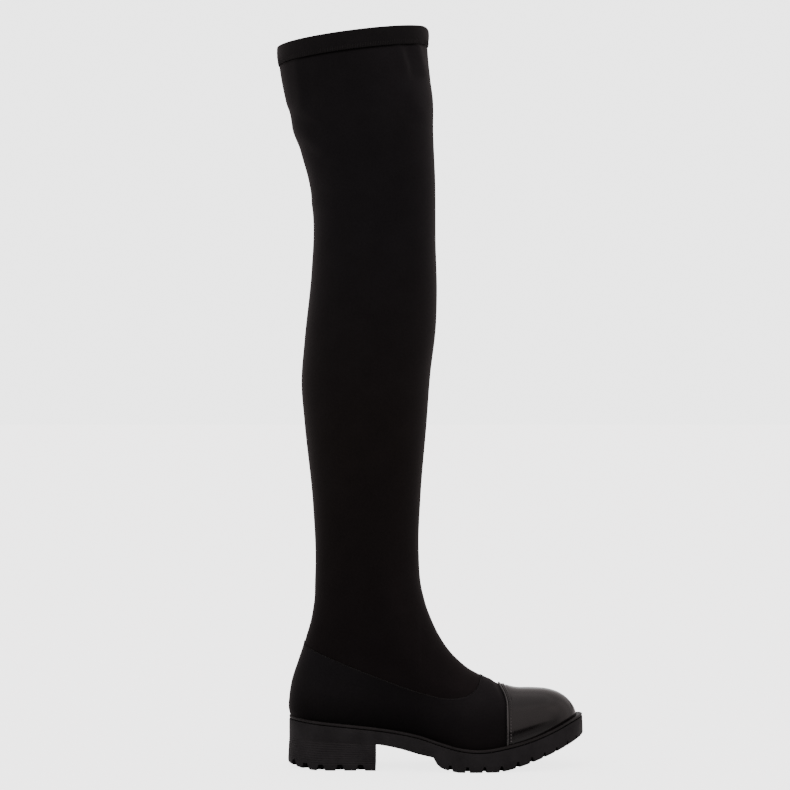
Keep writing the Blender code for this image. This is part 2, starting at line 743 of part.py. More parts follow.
def lug_places():
    """Notch places along the outer edge, round the toe and back along the inner edge, closer at the toe."""
    x = np.linspace(LUG_START_X, SOLE_LENGTH, EDGE_SAMPLES)
    outer = np.column_stack([x, sole_centre(x) - sole_half(x)])
    inner = np.column_stack([x, sole_centre(x) + sole_half(x)])
    edge = np.vstack([outer, inner[-2::-1]])
    run = np.concatenate([[0.0], np.cumsum(np.linalg.norm(np.diff(edge, axis=0), axis=1))])
    pitch = LUG_PITCH + (LUG_TOE_PITCH - LUG_PITCH) * ease(edge[:, 0], *LUG_CLOSING_X)
    steps = np.concatenate([[0.0], np.cumsum(np.diff(run) / (pitch[1:] + pitch[:-1]) * 2)])
    count = int(round(steps[-1]))
    for at in np.interp(np.linspace(0.0, steps[-1], count + 1), steps, run):
        before, place, after = (
            np.array([np.interp(at + step, run, edge[:, 0]), np.interp(at + step, run, edge[:, 1]), 0.0])
            for step in (-EDGE_STEP, 0.0, EDGE_STEP)
        )
        along = (after - before) / np.linalg.norm(after - before)
        yield place, np.array([-along[1], along[0], 0.0]), along


def lug_notch(x):
    """Sizes of a lug notch, smaller towards the toe."""
    share = 1 + (LUG_TOE_SHARE - 1) * float(ease(x, *LUG_SHRINKING_X))
    return {name: size * share for name, size in LUG_NOTCH.items()}


def make_lug_cutter(cutters):
    bm = bmesh.new()
    for edge, into, along in lug_places():
        floor = float(sole_bottom(edge[0]))
        add_wedge(bm, edge, into, along, floor, reach=LUG_REACH, **lug_notch(edge[0]))
    return hide_as_cutter(new_object("lug_cutter", bm, cutters))


def make_channel_cutter(cutters):
    """Channel between the edge lugs and the middle of the tread, all round the forefoot."""
    part = (1 - np.cos(np.linspace(0.0, math.pi, CHANNEL_STATIONS))) / 2
    stations = CHANNEL_START_X + (CHANNEL_END_X - CHANNEL_START_X) * part
    half = sole_half(stations) - CHANNEL_INSET
    half = half * round_end(stations - CHANNEL_START_X, CHANNEL_BACK_ROUND, 2.0)
    half = half * round_end(CHANNEL_END_X - stations, CHANNEL_FRONT_ROUND, 2.0)
    low = both_sides(stations, sole_bottom(stations) - CUT_BEYOND, half, sole_centre(stations))
    high = both_sides(stations, sole_bottom(stations) + CHANNEL_DEPTH, half, sole_centre(stations))
    rings = [low, inset_ring(low, CHANNEL_WIDTH), inset_ring(high, CHANNEL_WIDTH), high]
    return hide_as_cutter(new_object("channel_cutter", hoop_mesh(rings), cutters))


def make_bar_cutter(cutters):
    """Grooves across the middle of the tread."""
    bm = bmesh.new()
    for x in BAR_GROOVE_X:
        reach = float(sole_half(x)) - CHANNEL_INSET - CHANNEL_WIDTH / 2
        start = np.array([x, float(sole_centre(x)) - reach + CUT_BEYOND, 0.0])
        across = np.array([0.0, 1.0, 0.0])
        along = np.array([1.0, 0.0, 0.0])
        add_wedge(bm, start, across, along, float(sole_bottom(x)), BAR_GROOVE_WIDTH, BAR_GROOVE_WIDTH,
                  BAR_GROOVE_DEPTH, 2 * reach - CUT_BEYOND)
    return hide_as_cutter(new_object("bar_cutter", bm, cutters))


def make_outsole(parts, cutters):
    stations = sole_stations()
    rings = [
        sole_ring(stations, TREAD_ROUND, sole_bottom),
        sole_ring(stations, -WALL_FLARE, lambda x: sole_bottom(x) + TREAD_ROUND),
        sole_ring(stations, 0.0, lambda x: sole_top(x) - SHOULDER),
        sole_ring(stations, SHOULDER, sole_top),
    ]
    bm = block_mesh(rings, 2 * (len(stations) - 1))
    outsole = new_object("outsole", bm, parts, new_material("sole_rubber", SOLE_COLOUR, RUBBER_ROUGHNESS))
    add_cut(outsole, make_channel_cutter(cutters))
    add_cut(outsole, make_bar_cutter(cutters))
    add_cut(outsole, make_lug_cutter(cutters))
    return outsole


def heel_ring(inset, height):
    """Ring of the heel block, from the breast round the back to the breast."""
    back = SOLE_BACK + SOLE_HEEL_ROUND * end_stations(7)
    side = np.linspace(back[-1], BREAST_X, 5)
    stations = np.concatenate([back, side[1:]])
    half = sole_half(stations)
    outer = np.column_stack([stations, sole_centre(stations) - half, height(stations)])
    inner = np.column_stack([stations, sole_centre(stations) + half, height(stations)])
    ring = np.vstack([outer[::-1], inner[1:]])
    moved = inset_ring(ring[::-1], inset)[::-1]
    moved[[0, -1], 0] = ring[[0, -1], 0]
    moved[0, 1] = ring[0, 1] + inset
    moved[-1, 1] = ring[-1, 1] - inset
    return moved


def level_heel_ring(z, inset):
    """Level ring of the heel block, which flares towards the floor."""
    return heel_ring(inset - HEEL_FLARE * (1 - z / WAIST_LINE[0].z), lambda x: np.full_like(x, z))


def make_heel(parts, cutters):
    rings = [
        heel_ring(TREAD_ROUND - HEEL_FLARE, heel_bottom),
        heel_ring(-HEEL_FLARE, lambda x: heel_bottom(x) + TREAD_ROUND),
    ]
    for rib in reversed(range(RIB_COUNT)):
        crest = RIB_TOP_Z - rib * RIB_PITCH
        rings.append(level_heel_ring(crest - RIB_PITCH / 2, RIB_DEPTH))
        rings.append(level_heel_ring(crest, 0.0))
    rings.append(heel_ring(0.0, lambda x: sole_bottom(x) - GAP))
    bm = block_mesh(rings, len(rings[0]))
    heel = new_object("heel", bm, parts, new_material("heel_rubber", HEEL_COLOUR, RUBBER_ROUGHNESS))
    notches = bmesh.new()
    for side in (-1.0, 1.0):
        for x in HEEL_NOTCH_X:
            into, along = inward(x, side)
            add_wedge(notches, edge_point(x, side), into, along, float(heel_bottom(x)), **HEEL_NOTCH)
    add_cut(heel, hide_as_cutter(new_object("heel_cutter", notches, cutters)))
    return heel


def form_outline(lift, offset):
    """Outline of the boot's form at a lift above the feather line, moved outwards in plan."""
    tip_z = float(feather_z(FRONT_LINE[0].x)) + lift
    front = (float(front_x(tip_z)), tip_z)
    return inset_ring(ring_between(FEATHER_BACK_Z + lift, front, lambda x: feather_z(x) + lift), -offset)


def make_welt(parts):
    stations = SOLE_BACK + (SOLE_LENGTH - SOLE_BACK) * PART
    inner_low = form_outline(0.0, WELT_CLEARANCE)
    inner_low[:, 2] += WELT_SEAT - FEATHER_LIFT
    inner_high = form_outline(WELT_HEIGHT + GAP - FEATHER_LIFT, WELT_CLEARANCE)
    edge = SHOULDER - WELT_ROUND / 2
    rings = [
        inner_low,
        sole_ring(stations, edge + WELT_ROUND / 2, lambda x: sole_top(x) + WELT_SEAT),
        sole_ring(stations, edge, lambda x: sole_top(x) + WELT_SEAT + WELT_ROUND / 2),
        sole_ring(stations, edge, lambda x: sole_top(x) + GAP + WELT_HEIGHT - WELT_ROUND),
        sole_ring(stations, edge + WELT_ROUND, lambda x: sole_top(x) + GAP + WELT_HEIGHT),
        inner_high,
    ]
    rubber = new_material("welt_rubber", WELT_COLOUR, WELT_ROUGHNESS)
    return new_object("welt", hoop_mesh(rings), parts, rubber)


def make_insole(parts):
    heel_x = float(back_x(FEATHER_BACK_Z))
    toe_x = FRONT_LINE[0].x
    x = heel_x + (toe_x - heel_x) * (sole_stations() - SOLE_BACK) / (SOLE_LENGTH - SOLE_BACK)
    outline = both_sides(x, feather_z(x), form_half(x, feather_z(x)), form_centre(x, feather_z(x)))
    low = inset_ring(outline, INSOLE_INSET)
    low[:, 2] = sole_top(low[:, 0]) + GAP
    high = low + np.array([0.0, 0.0, INSOLE_THICKNESS])
    bm = block_mesh([low, high], len(low))
    return new_object("insole", bm, parts, new_material("insole_sock", INSOLE_COLOUR, CLOTH_ROUGHNESS))


def main():
    remove_everything()
    parts = new_collection("stretch_boot")
    cutters = new_collection("cutters")
    make_upper(parts)
    make_shaft(parts)
    make_collar_band(parts)
    make_toe_cap(parts, cutters)
    make_cap_piping(parts)
    make_outsole(parts, cutters)
    make_heel(parts, cutters)
    make_welt(parts)
    make_insole(parts)


main()
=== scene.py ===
"""Looks of the over-the-knee stretch boot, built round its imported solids.

Sizes are in millimetres and become metres when a mesh is made. x runs from the back of the sole to the toe,
y to the inner side of the foot and z up from the floor.
"""
import math
from collections import namedtuple

import bmesh
import bpy
import numpy as np
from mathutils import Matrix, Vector


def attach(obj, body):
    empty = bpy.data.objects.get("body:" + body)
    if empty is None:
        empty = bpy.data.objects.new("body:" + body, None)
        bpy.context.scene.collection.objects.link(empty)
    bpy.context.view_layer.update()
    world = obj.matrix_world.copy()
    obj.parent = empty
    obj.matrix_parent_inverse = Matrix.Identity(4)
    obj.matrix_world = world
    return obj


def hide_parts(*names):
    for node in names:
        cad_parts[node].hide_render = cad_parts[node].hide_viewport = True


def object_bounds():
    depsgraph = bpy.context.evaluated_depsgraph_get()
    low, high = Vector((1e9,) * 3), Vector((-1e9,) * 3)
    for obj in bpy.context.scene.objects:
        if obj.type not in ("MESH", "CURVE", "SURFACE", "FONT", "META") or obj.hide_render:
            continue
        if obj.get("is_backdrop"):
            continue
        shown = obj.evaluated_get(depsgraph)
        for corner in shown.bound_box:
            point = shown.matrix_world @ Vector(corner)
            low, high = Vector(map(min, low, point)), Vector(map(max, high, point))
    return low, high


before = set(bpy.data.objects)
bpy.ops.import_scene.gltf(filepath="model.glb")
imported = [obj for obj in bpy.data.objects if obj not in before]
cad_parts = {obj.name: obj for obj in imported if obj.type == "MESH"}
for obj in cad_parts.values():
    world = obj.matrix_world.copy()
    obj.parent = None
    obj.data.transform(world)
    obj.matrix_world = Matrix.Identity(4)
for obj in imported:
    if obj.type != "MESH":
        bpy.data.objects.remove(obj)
cad_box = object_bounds()


def table(columns, *rows):
    """Rows of values whose columns have names."""
    row_type = namedtuple("Row", columns)
    return [row_type(*row) for row in rows]


# Frame
MM = 0.001
FRAME_X = 127.0
GAP = 0.3

# Driving sizes
SOLE_LENGTH = 265.0
WALL = 1.6
PANEL = 0.9
WELT_HEIGHT = 2.7
WELT_CLEARANCE = 0.15
FEATHER_LIFT = 0.5
ANKLE_Z = 190.0
COLLAR_BACK_Z = 646.5
COLLAR_FRONT_Z = 663.8

# Side outline of the upper and shaft, from floor level up
BACK_LINE = table(
    "x z",
    (3.4, 38.0), (1.8, 46.5), (0.4, 53.0), (0.8, 62.0), (3.2, 77.4), (9.0, 95.4), (15.0, 113.4),
    (20.4, 131.4), (24.3, 175.0), (22.1, 237.6), (14.6, 309.6), (11.9, 345.6), (14.5, 381.6), (21.0, 446.0),
    (22.6, 489.6), (18.6, 525.6), (8.0, 561.6), (-2.1, 597.6), (-8.0, 630.0), (-9.1, 652.0),
)
FRONT_LINE = table(
    "x z",
    (259.2, 38.0), (259.0, 49.5), (252.8, 59.7), (244.8, 65.7), (234.0, 69.4), (219.0, 70.7), (203.8, 71.2),
    (195.0, 73.5), (184.6, 77.6), (173.3, 82.3), (163.7, 87.2), (153.2, 95.6), (144.8, 104.4), (136.3, 117.0),
    (127.0, 137.0), (119.8, 162.0), (117.6, 192.0), (119.4, 245.0), (124.8, 309.6), (128.0, 352.0),
    (133.0, 395.0), (134.0, 425.0), (132.9, 470.0), (132.5, 525.0), (130.6, 575.0), (130.5, 598.0),
    (127.6, 621.0), (125.4, 648.0), (125.4, 668.0),
)

# Foot sections across the boot: centre and half width of the feather line, and the shape of the arch above it
FOOT_SECTIONS = table(
    "x centre half_width dome side",
    (0.0, 0.0, 31.0, 2.0, 2.0), (32.0, 0.0, 31.0, 2.0, 2.0), (62.0, -0.5, 30.0, 1.8, 1.8),
    (95.0, -2.0, 30.5, 1.6, 1.6), (130.0, -2.5, 38.5, 1.6, 1.6), (165.0, -1.0, 44.0, 1.8, 1.7),
    (190.0, 1.5, 43.5, 2.1, 2.0), (215.0, 4.0, 40.0, 2.4, 2.2), (259.2, 6.5, 36.0, 2.4, 2.2),
)
HEEL_ROUND = 31.0
TOE_ROUND = 50.0
TOE_POWER = 2.25
HEEL_REACH = 105.0

# Shaft sections: half width of the leg and how square its outline is
SHAFT_SECTIONS = table(
    "z half_width square",
    (40.0, 31.0, 2.1), (120.0, 33.5, 2.1), (185.0, 36.0, 2.1), (245.0, 43.0, 2.1), (305.0, 51.0, 2.1),
    (360.0, 55.0, 2.1), (420.0, 54.5, 2.1), (490.0, 52.5, 2.1), (560.0, 55.5, 2.1), (668.0, 60.5, 2.1),
)
FOOT_TO_LEG = (72.0, 150.0)
LEG_STEEPNESS = 8.0

# Foot seam: its height by the turn round the boot, from the heel at 0 to the instep at 180 degrees
SEAM_LINE = table(
    "turn z",
    (0.0, 113.0), (45.0, 99.6), (75.0, 85.0), (100.0, 72.5), (128.0, 63.5), (147.0, 65.5), (165.0, 73.0),
    (180.0, 82.0),
)
SEAM_FRONT_X = 173.0
RING_ENDS_POWER = 3

# Sole: height of the welt's top along the foot, plan outline and underside
WELT_LINE = table(
    "x z",
    (0.0, 47.0), (24.0, 44.0), (47.0, 41.5), (83.0, 37.7), (101.0, 35.2), (118.0, 32.0), (136.0, 26.4),
    (154.0, 21.6), (172.0, 20.0), (195.0, 23.2), (217.0, 28.8), (239.0, 37.4), (257.0, 45.8), (265.0, 48.9),
)
SOLE_PLAN = table(
    "x centre half_width",
    (0.0, 0.0, 34.0), (34.0, 0.0, 34.0), (62.0, -0.5, 33.2), (95.0, -2.0, 34.0), (130.0, -2.5, 42.5),
    (165.0, -1.0, 49.0), (190.0, 1.5, 48.5), (215.0, 4.0, 45.0), (265.0, 6.5, 41.0),
)
SOLE_BACK = 0.9
SOLE_HEEL_ROUND = 34.0
SOLE_TOE_ROUND = 55.0
WAIST_LINE = table(
    "x z",
    (0.0, 28.0), (20.0, 27.2), (50.0, 25.4), (79.0, 23.5), (101.0, 19.6), (119.0, 15.0), (130.0, 12.9),
)
RAMP_START = 130.0
FLAT_START = 152.0
FLAT_END = 186.0
RAMP_STRAIGHT = 0.35
RAMP_POWER = 6.0
ROCKER_POWER = 1.42
TOE_SPRING = 29.3

# Wall of the outsole, from its underside at part 0 to its top at part 1, with an inset on the tread alone
SOLE_WALL = table(
    "inset tread_inset part rise",
    (0.0, 1.5, 0.0, 0.0), (0.0, -0.05, 0.0, 0.45), (0.0, -0.5, 0.0, 1.5), (0.0, -0.3, 0.5, 0.0),
    (0.0, 0.0, 1.0, -1.2), (0.3, 0.0, 1.0, -0.35), (1.0, 0.0, 1.0, 0.0),
)
TREAD_START_X = (78.0, 83.0)

# Welt bead: inset from the sole's edge, rise over the sole, and how far it comes down round the toe
WELT_BEAD = table(
    "inset rise toe_drop",
    (2.0, 0.35, 0.0), (1.2, 0.55, 0.0), (0.6, 0.62, 0.0), (0.3, 0.85, 0.1), (0.15, 1.3, 0.35),
    (0.15, 2.0, 0.8), (0.4, 2.65, 1.1), (0.95, 2.97, 1.0), (1.7, 3.05, 0.65), (2.8, 3.0, 0.2),
)
WELT_TOE_X = (238.0, 259.0)
WELT_INNER_RISE = 2.25

# Heel block: its rounded lower edge, its ribs and the notches in its tread
BREAST_X = 79.0
HEEL_FLAT_X = 34.0
HEEL_LIFT = 4.6
HEEL_LIFT_POWER = 2.2
HEEL_FLARE = 1.0
HEEL_SEAT = 0.05
HEEL_EDGE = table("inset rise", (0.5, 0.0), (-0.55, 0.45), (-1.0, 1.5))
RIB_LOW_Z = 5.0
RIB_COUNT = 10
RIB_TOP_DROP = 0.5
RIB_DEPTH = 0.32
RIB_SHAPE = table("step depth", (0.0, 0.0), (0.45, 0.0), (0.62, 0.75), (0.75, 1.0), (0.88, 0.75))
HEEL_NOTCH_X = (6.5, 16.6, 30.2, 47.2, 65.6)
HEEL_NOTCH = dict(mouth=8.4, roof=3.8, height=5.6, reach=9.0)

# Forefoot lugs
LUG_START_X = 145.0
LUG_PITCH = 15.5
LUG_TOE_PITCH = 12.0
LUG_CLOSING_X = (196.0, 220.0)
LUG_NOTCH = dict(mouth=4.4, roof=2.0, height=5.2)
LUG_REACH = 13.0
LUG_TOE_SHARE = 0.75
LUG_SHRINKING_X = (205.0, 245.0)
CHANNEL_INSET = 14.0
CHANNEL_WIDTH = 4.0
CHANNEL_DEPTH = 4.0
CHANNEL_START_X = 157.0
CHANNEL_END_X = 244.0
CHANNEL_BACK_ROUND = 14.5
CHANNEL_FRONT_ROUND = 29.0
BAR_GROOVE_X = (170.0, 187.0, 204.0, 221.0)
BAR_GROOVE = dict(mouth=4.0, roof=4.0, height=3.0)
CUT_BEYOND = 4.0
CUT_BELOW = 2.0
WEDGE_FACES = ((0, 1, 3, 2), (4, 6, 7, 5), (0, 4, 5, 1), (2, 3, 7, 6), (0, 2, 6, 4), (1, 5, 7, 3))
WEDGE_CORNERS = 8

# Toe cap, its piping and its stitches
CAP_SIDE_X = 197.7
CAP_SWEEP = 6.8
CAP_SWEEP_Z = (58.0, 76.0)
CAP_SWEEP_POWER = 1.7
CAP_SWEEP_LIMIT = 1.2
CAP_RECESS = 1.3
CAP_RECESS_AHEAD = (-8.0, -3.2)
CAP_TOP_LEVELS = (0.5, 1.0)
CAP_TOP_ROUNDS = 24
CAP_MARGIN_SINK = 0.15
CAP_MARGIN_AHEAD = (4.2, 1.8)
CAP_GROOVE_AHEAD = 2.7
CAP_GROOVE_DEPTH = 0.22
CAP_GROOVE_WIDTH = 0.5
CAP_STITCH_AHEAD = 1.35
CAP_STITCH_PITCH = 2.9
CAP_STITCH_LENGTH = 1.55
CAP_STITCH_RADIUS = 0.45
PIPING_HALF_WIDTH = 1.15
PIPING_HALF_HEIGHT = 0.9
PIPING_BEHIND = 1.55
PIPING_LIFT = -0.05
PIPING_TOP_SINK = 0.55
PIPING_SINK_TURN = 0.55
PIPING_TOP_TAPER = 0.4
PIPING_TAPER_TURN = 1.1
PIPING_END_TURN = 0.022

# Collar band: drop below the collar edge, depth into the leg, and shares of the pucker and of the scallop
BAND_HEIGHT = 16.5
BAND_PROFILE = table(
    "drop depth pucker scallop",
    (16.3, -0.3, 0.0, 1.0), (16.5, -0.45, 0.5, 1.0), (16.2, -0.65, 0.9, 1.0), (16.1, -0.72, 1.0, 0.0),
    (14.9, -0.87, 1.0, 0.0), (12.9, -1.02, 1.0, 0.0), (12.1, -1.02, 1.0, 0.0), (11.1, -1.3, 0.5, 0.0),
    (9.1, -1.55, 0.1, 0.0), (5.5, -1.55, 0.0, 0.0), (1.6, -1.375, 0.0, 0.0), (0.8, -1.2, 0.0, 0.0),
    (0.24, -0.92, 0.0, 0.0), (0.0, -0.4, 0.0, 0.0), (0.0, 2.0, 0.0, 0.0), (0.24, 2.52, 0.0, 0.0),
    (0.8, 2.8, 0.0, 0.0), (10.0, 2.8, 0.0, 0.0), (10.0, 1.9, 0.0, 0.0), (0.9, 1.9, 0.0, 0.0),
    (0.9, -0.3, 0.0, 0.0),
)
BAND_PUCKER = 0.16
BAND_SCALLOP = 0.35
BAND_DIP = 2.4
BAND_DIP_TURN = 2.62
BAND_DIP_DROP = 7.0
BAND_STITCH_DROP = 16.1
BAND_STITCH_TOP_DROP = 12.1
BAND_STITCH_DEPTH = -0.8
BAND_STITCH_TOP_DEPTH = -1.08
BAND_STITCH_PITCH = 2.25
BAND_STITCH_LEAN = 0.6
BAND_STITCH_RADIUS = 0.2
HEM_PULL = 1.0
HEM_PULL_DROP = 16.725
HEM_PULL_WIDTH = 0.9
# Painted shade on the leg just under the band's lower edge: how much darker, its drop below the collar edge
# and its width
HEM_PAINTED_SHADE = 0.8
HEM_PAINTED_SHADE_DROP = 16.95
HEM_PAINTED_SHADE_WIDTH = 1.3

# Foot seam: lapped edge and overlock stitches
LAP_LIFT = 0.28
LAP_RUN = 3.5
LAP_SHADOW_SINK = 0.2
SEAM_STITCH_PITCH = 1.75
SEAM_STITCH_BELOW = 1.5
SEAM_STITCH_ABOVE = 0.5
SEAM_STITCH_TOP_LIFT = 0.168
SEAM_STITCH_LEAN = 0.7
SEAM_STITCH_RADIUS = 0.17

# One stitch: its thickness along its length, arch off the cloth and sink into it, as shares of its radius
STITCH_THICKNESS = (0.35, 0.85, 1.0, 1.0, 0.85, 0.35)
STITCH_ARCH = 0.7
STITCH_SINK = 0.25

# Soft folds of the leg: a ridge, or a trough where the height is negative, along a line in the side view
LEG_FOLDS = table(
    "x z to_x to_z width height",
    (116.0, 644.0, 122.0, 621.0, 3.8, 1.3),
    (107.5, 639.0, 112.5, 618.0, 4.0, -1.3),
    (98.0, 642.0, 105.0, 624.0, 4.5, 1.1),
    (96.0, 606.0, 108.0, 588.0, 7.0, -0.8),
    (108.0, 600.0, 120.0, 583.0, 7.0, 0.8),
    (9.0, 630.0, 13.0, 592.0, 4.5, 0.7),
    (18.0, 628.0, 23.0, 596.0, 5.0, -0.6),
    (0.0, 588.0, 26.0, 570.0, 5.0, -0.9),
    (4.0, 572.0, 32.0, 553.0, 5.5, 0.9),
    (12.0, 556.0, 34.0, 540.0, 6.0, -0.7),
    (28.0, 518.0, 58.0, 505.0, 6.0, -0.8),
    (26.0, 506.0, 54.0, 493.0, 6.0, 0.7),
    (98.0, 152.0, 118.0, 140.0, 7.0, -0.6),
    (28.0, 152.0, 52.0, 139.0, 8.0, -0.5),
)
FOLD_INSIDE = 0.6

# Insole: its rounded upper edge, inside the upper
INSOLE_INSET = 3.4
INSOLE_EDGE = table("inset lift", (0.0, 0.0), (0.0, 1.9), (0.5, 2.5))

# Tones of cloth and thread by height above the floor
LEG_TONES = [
    (90.0, (0.0082, 0.0067, 0.007)), (300.0, (0.01, 0.0084, 0.0081)), (480.0, (0.0103, 0.0095, 0.0104)),
]
FOOT_TONES = [(25.0, (0.0093, 0.0082, 0.0086)), (100.0, (0.0097, 0.0092, 0.0101))]
BAND_TONES = [(640.0, (0.0119, 0.0112, 0.0118)), (664.0, (0.0125, 0.0118, 0.0123))]
SOCK_TONES = [(20.0, (0.018, 0.017, 0.016)), (60.0, (0.018, 0.017, 0.016))]
BAND_THREAD_TONES = [(600.0, (0.0215, 0.0196, 0.02)), (664.0, (0.0215, 0.0196, 0.02))]
# Seam thread: its own dark tone at the back, made lighter low toward the front as a painted highlight where
# the lapped edge catches the light
SEAM_THREAD_TONES_WITH_HIGHLIGHT = [
    (62.0, (0.056, 0.0515, 0.0524)), (67.0, (0.036, 0.0331, 0.0337)),
    (80.0, (0.031, 0.0286, 0.029)), (112.0, (0.0165, 0.0152, 0.0155)),
]
# Cap thread: much lighter low on the cap, painted glints where the stitches catch the light, fading to a dark
# tone higher up
CAP_THREAD_TONES_WITH_GLINTS = [(36.0, (0.19, 0.18, 0.18)), (46.0, (0.1, 0.094, 0.093)), (54.0, (0.048, 0.045, 0.044))]

# Painted light and shade of the foot by the rise over the feather line, at the side and on the vamp, and its
# painted shade over the arch; the shade is darkest low along the welt, the light strongest up the vamp
FOOT_PAINTED_SHADING = table(
    "rise side vamp",
    (0.0, 0.36, 0.8), (9.0, 0.6, 0.9), (17.0, 0.82, 0.95), (24.0, 1.0, 1.0), (31.0, 1.13, 1.2),
    (38.0, 1.12, 1.5), (47.0, 1.1, 1.7),
)
VAMP_X = (130.0, 168.0)
ARCH_X = 97.0
ARCH_RUN = 33.0
ARCH_PAINTED_SHADE = 0.28

# Painted light on the leg: how much, over which part of the way to the front, and over which heights
LEG_PAINTED_LIGHT = table(
    "amount front z",
    (0.32, (0.5, 0.74), (550.0, 625.0)),
    (0.15, (0.8, 0.95), (500.0, 560.0)),
    (0.26, (0.6, 0.8), (220.0, 150.0)),
)
# Painted light on the instep, where the leg runs down onto the vamp
VAMP_PAINTED_LIGHT = 0.35
VAMP_PAINTED_LIGHT_X = (135.0, 160.0)
VAMP_PAINTED_LIGHT_Z = (120.0, 90.0)

# Noises of the finishes: waves a metre, detail, and strength and depth of the bump
Noise = namedtuple("Noise", "scale detail strength depth")
CLOTH_PATCHES = Noise(45.0, 3.0, 0.08, 1.2)
CLOTH_NAP = Noise(1400.0, 2.0, 0.35, 0.18)
CLOTH_FIBRE = Noise(3600.0, 2.0, 0.3, 0.08)
LINING_PATCHES = Noise(70.0, 2.0, 0.0, 0.0)
LINING_KNIT = Noise(1100.0, 1.0, 0.4, 0.25)
PATENT_FILM = Noise(130.0, 2.0, 0.03, 0.5)
PATENT_GRAIN = Noise(520.0, 3.0, 0.02, 0.12)
RUBBER_CLOUD = Noise(60.0, 3.0, 0.06, 0.6)
RUBBER_SKIN = Noise(900.0, 3.0, 0.12, 0.1)
THREAD_TWIST = Noise(2600.0, 1.0, 0.5, 0.12)
NOISE_ROUGHNESS = 0.55
NOISE_SPAN = (0.3, 0.7)

# Finishes: settings that are the same all over, and the limits between which a noise varies the rest
WHITE = (1.0, 1.0, 1.0, 1.0)
CLOTH = {
    "Roughness": 0.9, "Sheen Weight": 0.14, "Sheen Roughness": 0.42, "Sheen Tint": (0.9, 0.84, 0.84, 1.0),
    "Specular IOR Level": 0.04,
}
CLOTH_PATCH_SHADES = (0.92, 1.08)
CLOTH_NAP_SHADES = (0.8, 1.2)
CLOTH_ROUGHNESS = (0.82, 0.96)
LINING = {"Roughness": 0.9, "Sheen Weight": 0.1}
LINING_TONE = (0.012, 0.011, 0.011)
LINING_TONES = ((0.009, 0.0085, 0.0085), (0.016, 0.015, 0.015))
PATENT = {"Roughness": 0.25, "Coat Weight": 1.0, "Coat IOR": 1.4}
PATENT_TONE = (0.0065, 0.0057, 0.0057)
PATENT_TONES = ((0.0055, 0.0048, 0.0048), (0.0075, 0.0066, 0.0066))
PATENT_ROUGHNESS = (0.2, 0.32)
CAP_GLOSS = dict(coat_roughness=0.12, shine=0.05)
PIPING_GLOSS = dict(coat_roughness=0.3, shine=0.6)
RUBBER_MEAN_ROUGHNESS = 0.5
RUBBER_SHADES = (0.8, 1.25)
SOLE_RUBBER = dict(tone=(0.0194, 0.0185, 0.0197), roughness=(0.42, 0.58), shine=0.11)
# Heel rubber: the sole's rubber made lighter, painted light for the heel, which sits low and gets less light
HEEL_RUBBER_PAINTED_LIGHTER = dict(tone=(0.0226, 0.0214, 0.0229), roughness=(0.42, 0.58), shine=0.11)
WELT_RUBBER = dict(tone=(0.018, 0.0166, 0.0169), roughness=(0.32, 0.44), shine=0.14)
THREAD = {"Roughness": 0.6, "Sheen Weight": 0.06, "Specular IOR Level": 0.1}
THREAD_SHADES = (0.7, 1.0)

# Mesh counts, small steps, and the angles in degrees over which an edge is shaded hard
PROFILE_SAMPLES = 1600
EDGE_SAMPLES = 900
EDGE_STEP = 0.5
SEAM_STEP = 0.4
BAND_STEP = 1.0
ARCH_STEP = 0.02
STITCH_SAMPLES = 700
STITCH_SIDES = 6
FOOT_RINGS = 70
FOOT_COLUMNS = 110
FOOT_CLOSER_AT_SEAM = 1.5
CAP_RINGS = 90
CAP_COLUMNS = 100
CAP_FROM_TURN = 1.9
CAP_CLOSER_AT_EDGE = 1.6
CAP_SMOOTH_PASSES = 12
CAP_EDGE_ROUNDS = 5
CAP_STITCH_SAMPLES = 600
PIPING_STATIONS = 150
PIPING_SIDES = 18
INSTEP_RINGS = 42
INSTEP_CLOSER_AT_SEAM = 1.4
LEG_RINGS = 180
HEM_RINGS = 48
HEM_ZONE = 24.0
LEG_COLUMNS = 76
BAND_COLUMNS = 190
SOLE_STATIONS = 130
CHANNEL_STATIONS = 48
HEEL_STATIONS = 46
HEEL_SIDE_STATIONS = 15
SHARP_SHELL = 50.0
SHARP_HOOP = 40.0
SHARP_MOULDED = 35.0

# Camera and photograph
PHOTO_PIXELS = 790.0
PIXEL_MM = 0.9
PHOTO_BACK_X = 288.2
PHOTO_FLOOR_Y = 766.0
CAMERA_DISTANCE = 2600.0
SENSOR = 36.0

# Studio light by height, the dark card in front that dims it, the light behind, the backdrop and the floor
STUDIO_LIGHT = [(0.0, 0.44), (0.13, 0.45), (0.25, 0.5), (0.55, 0.58), (0.78, 0.64), (0.89, 0.93), (1.0, 0.93)]
STUDIO_TINT = (1.0, 0.9, 0.895)
DARK_CARD = [(0.0, 1.0), (0.09, 1.0), (0.13, 0.05), (0.215, 0.02), (0.25, 1.0)]
DARK_CARD_X = (0.47, 0.74)
BACK_LIGHT = (0.8, 0.8, 0.8, 1.0)
BACK_LIGHT_Y = (0.9, 0.99)
BACKDROP_GLOW = 3.0
FLOOR_LIGHT = 1.25
FLOOR_SIZE = 30.0
FLOOR_TONE = (0.9, 0.9, 0.9)
FLOOR = {"Roughness": 0.9, "Specular IOR Level": 0.0, "Emission Color": WHITE}

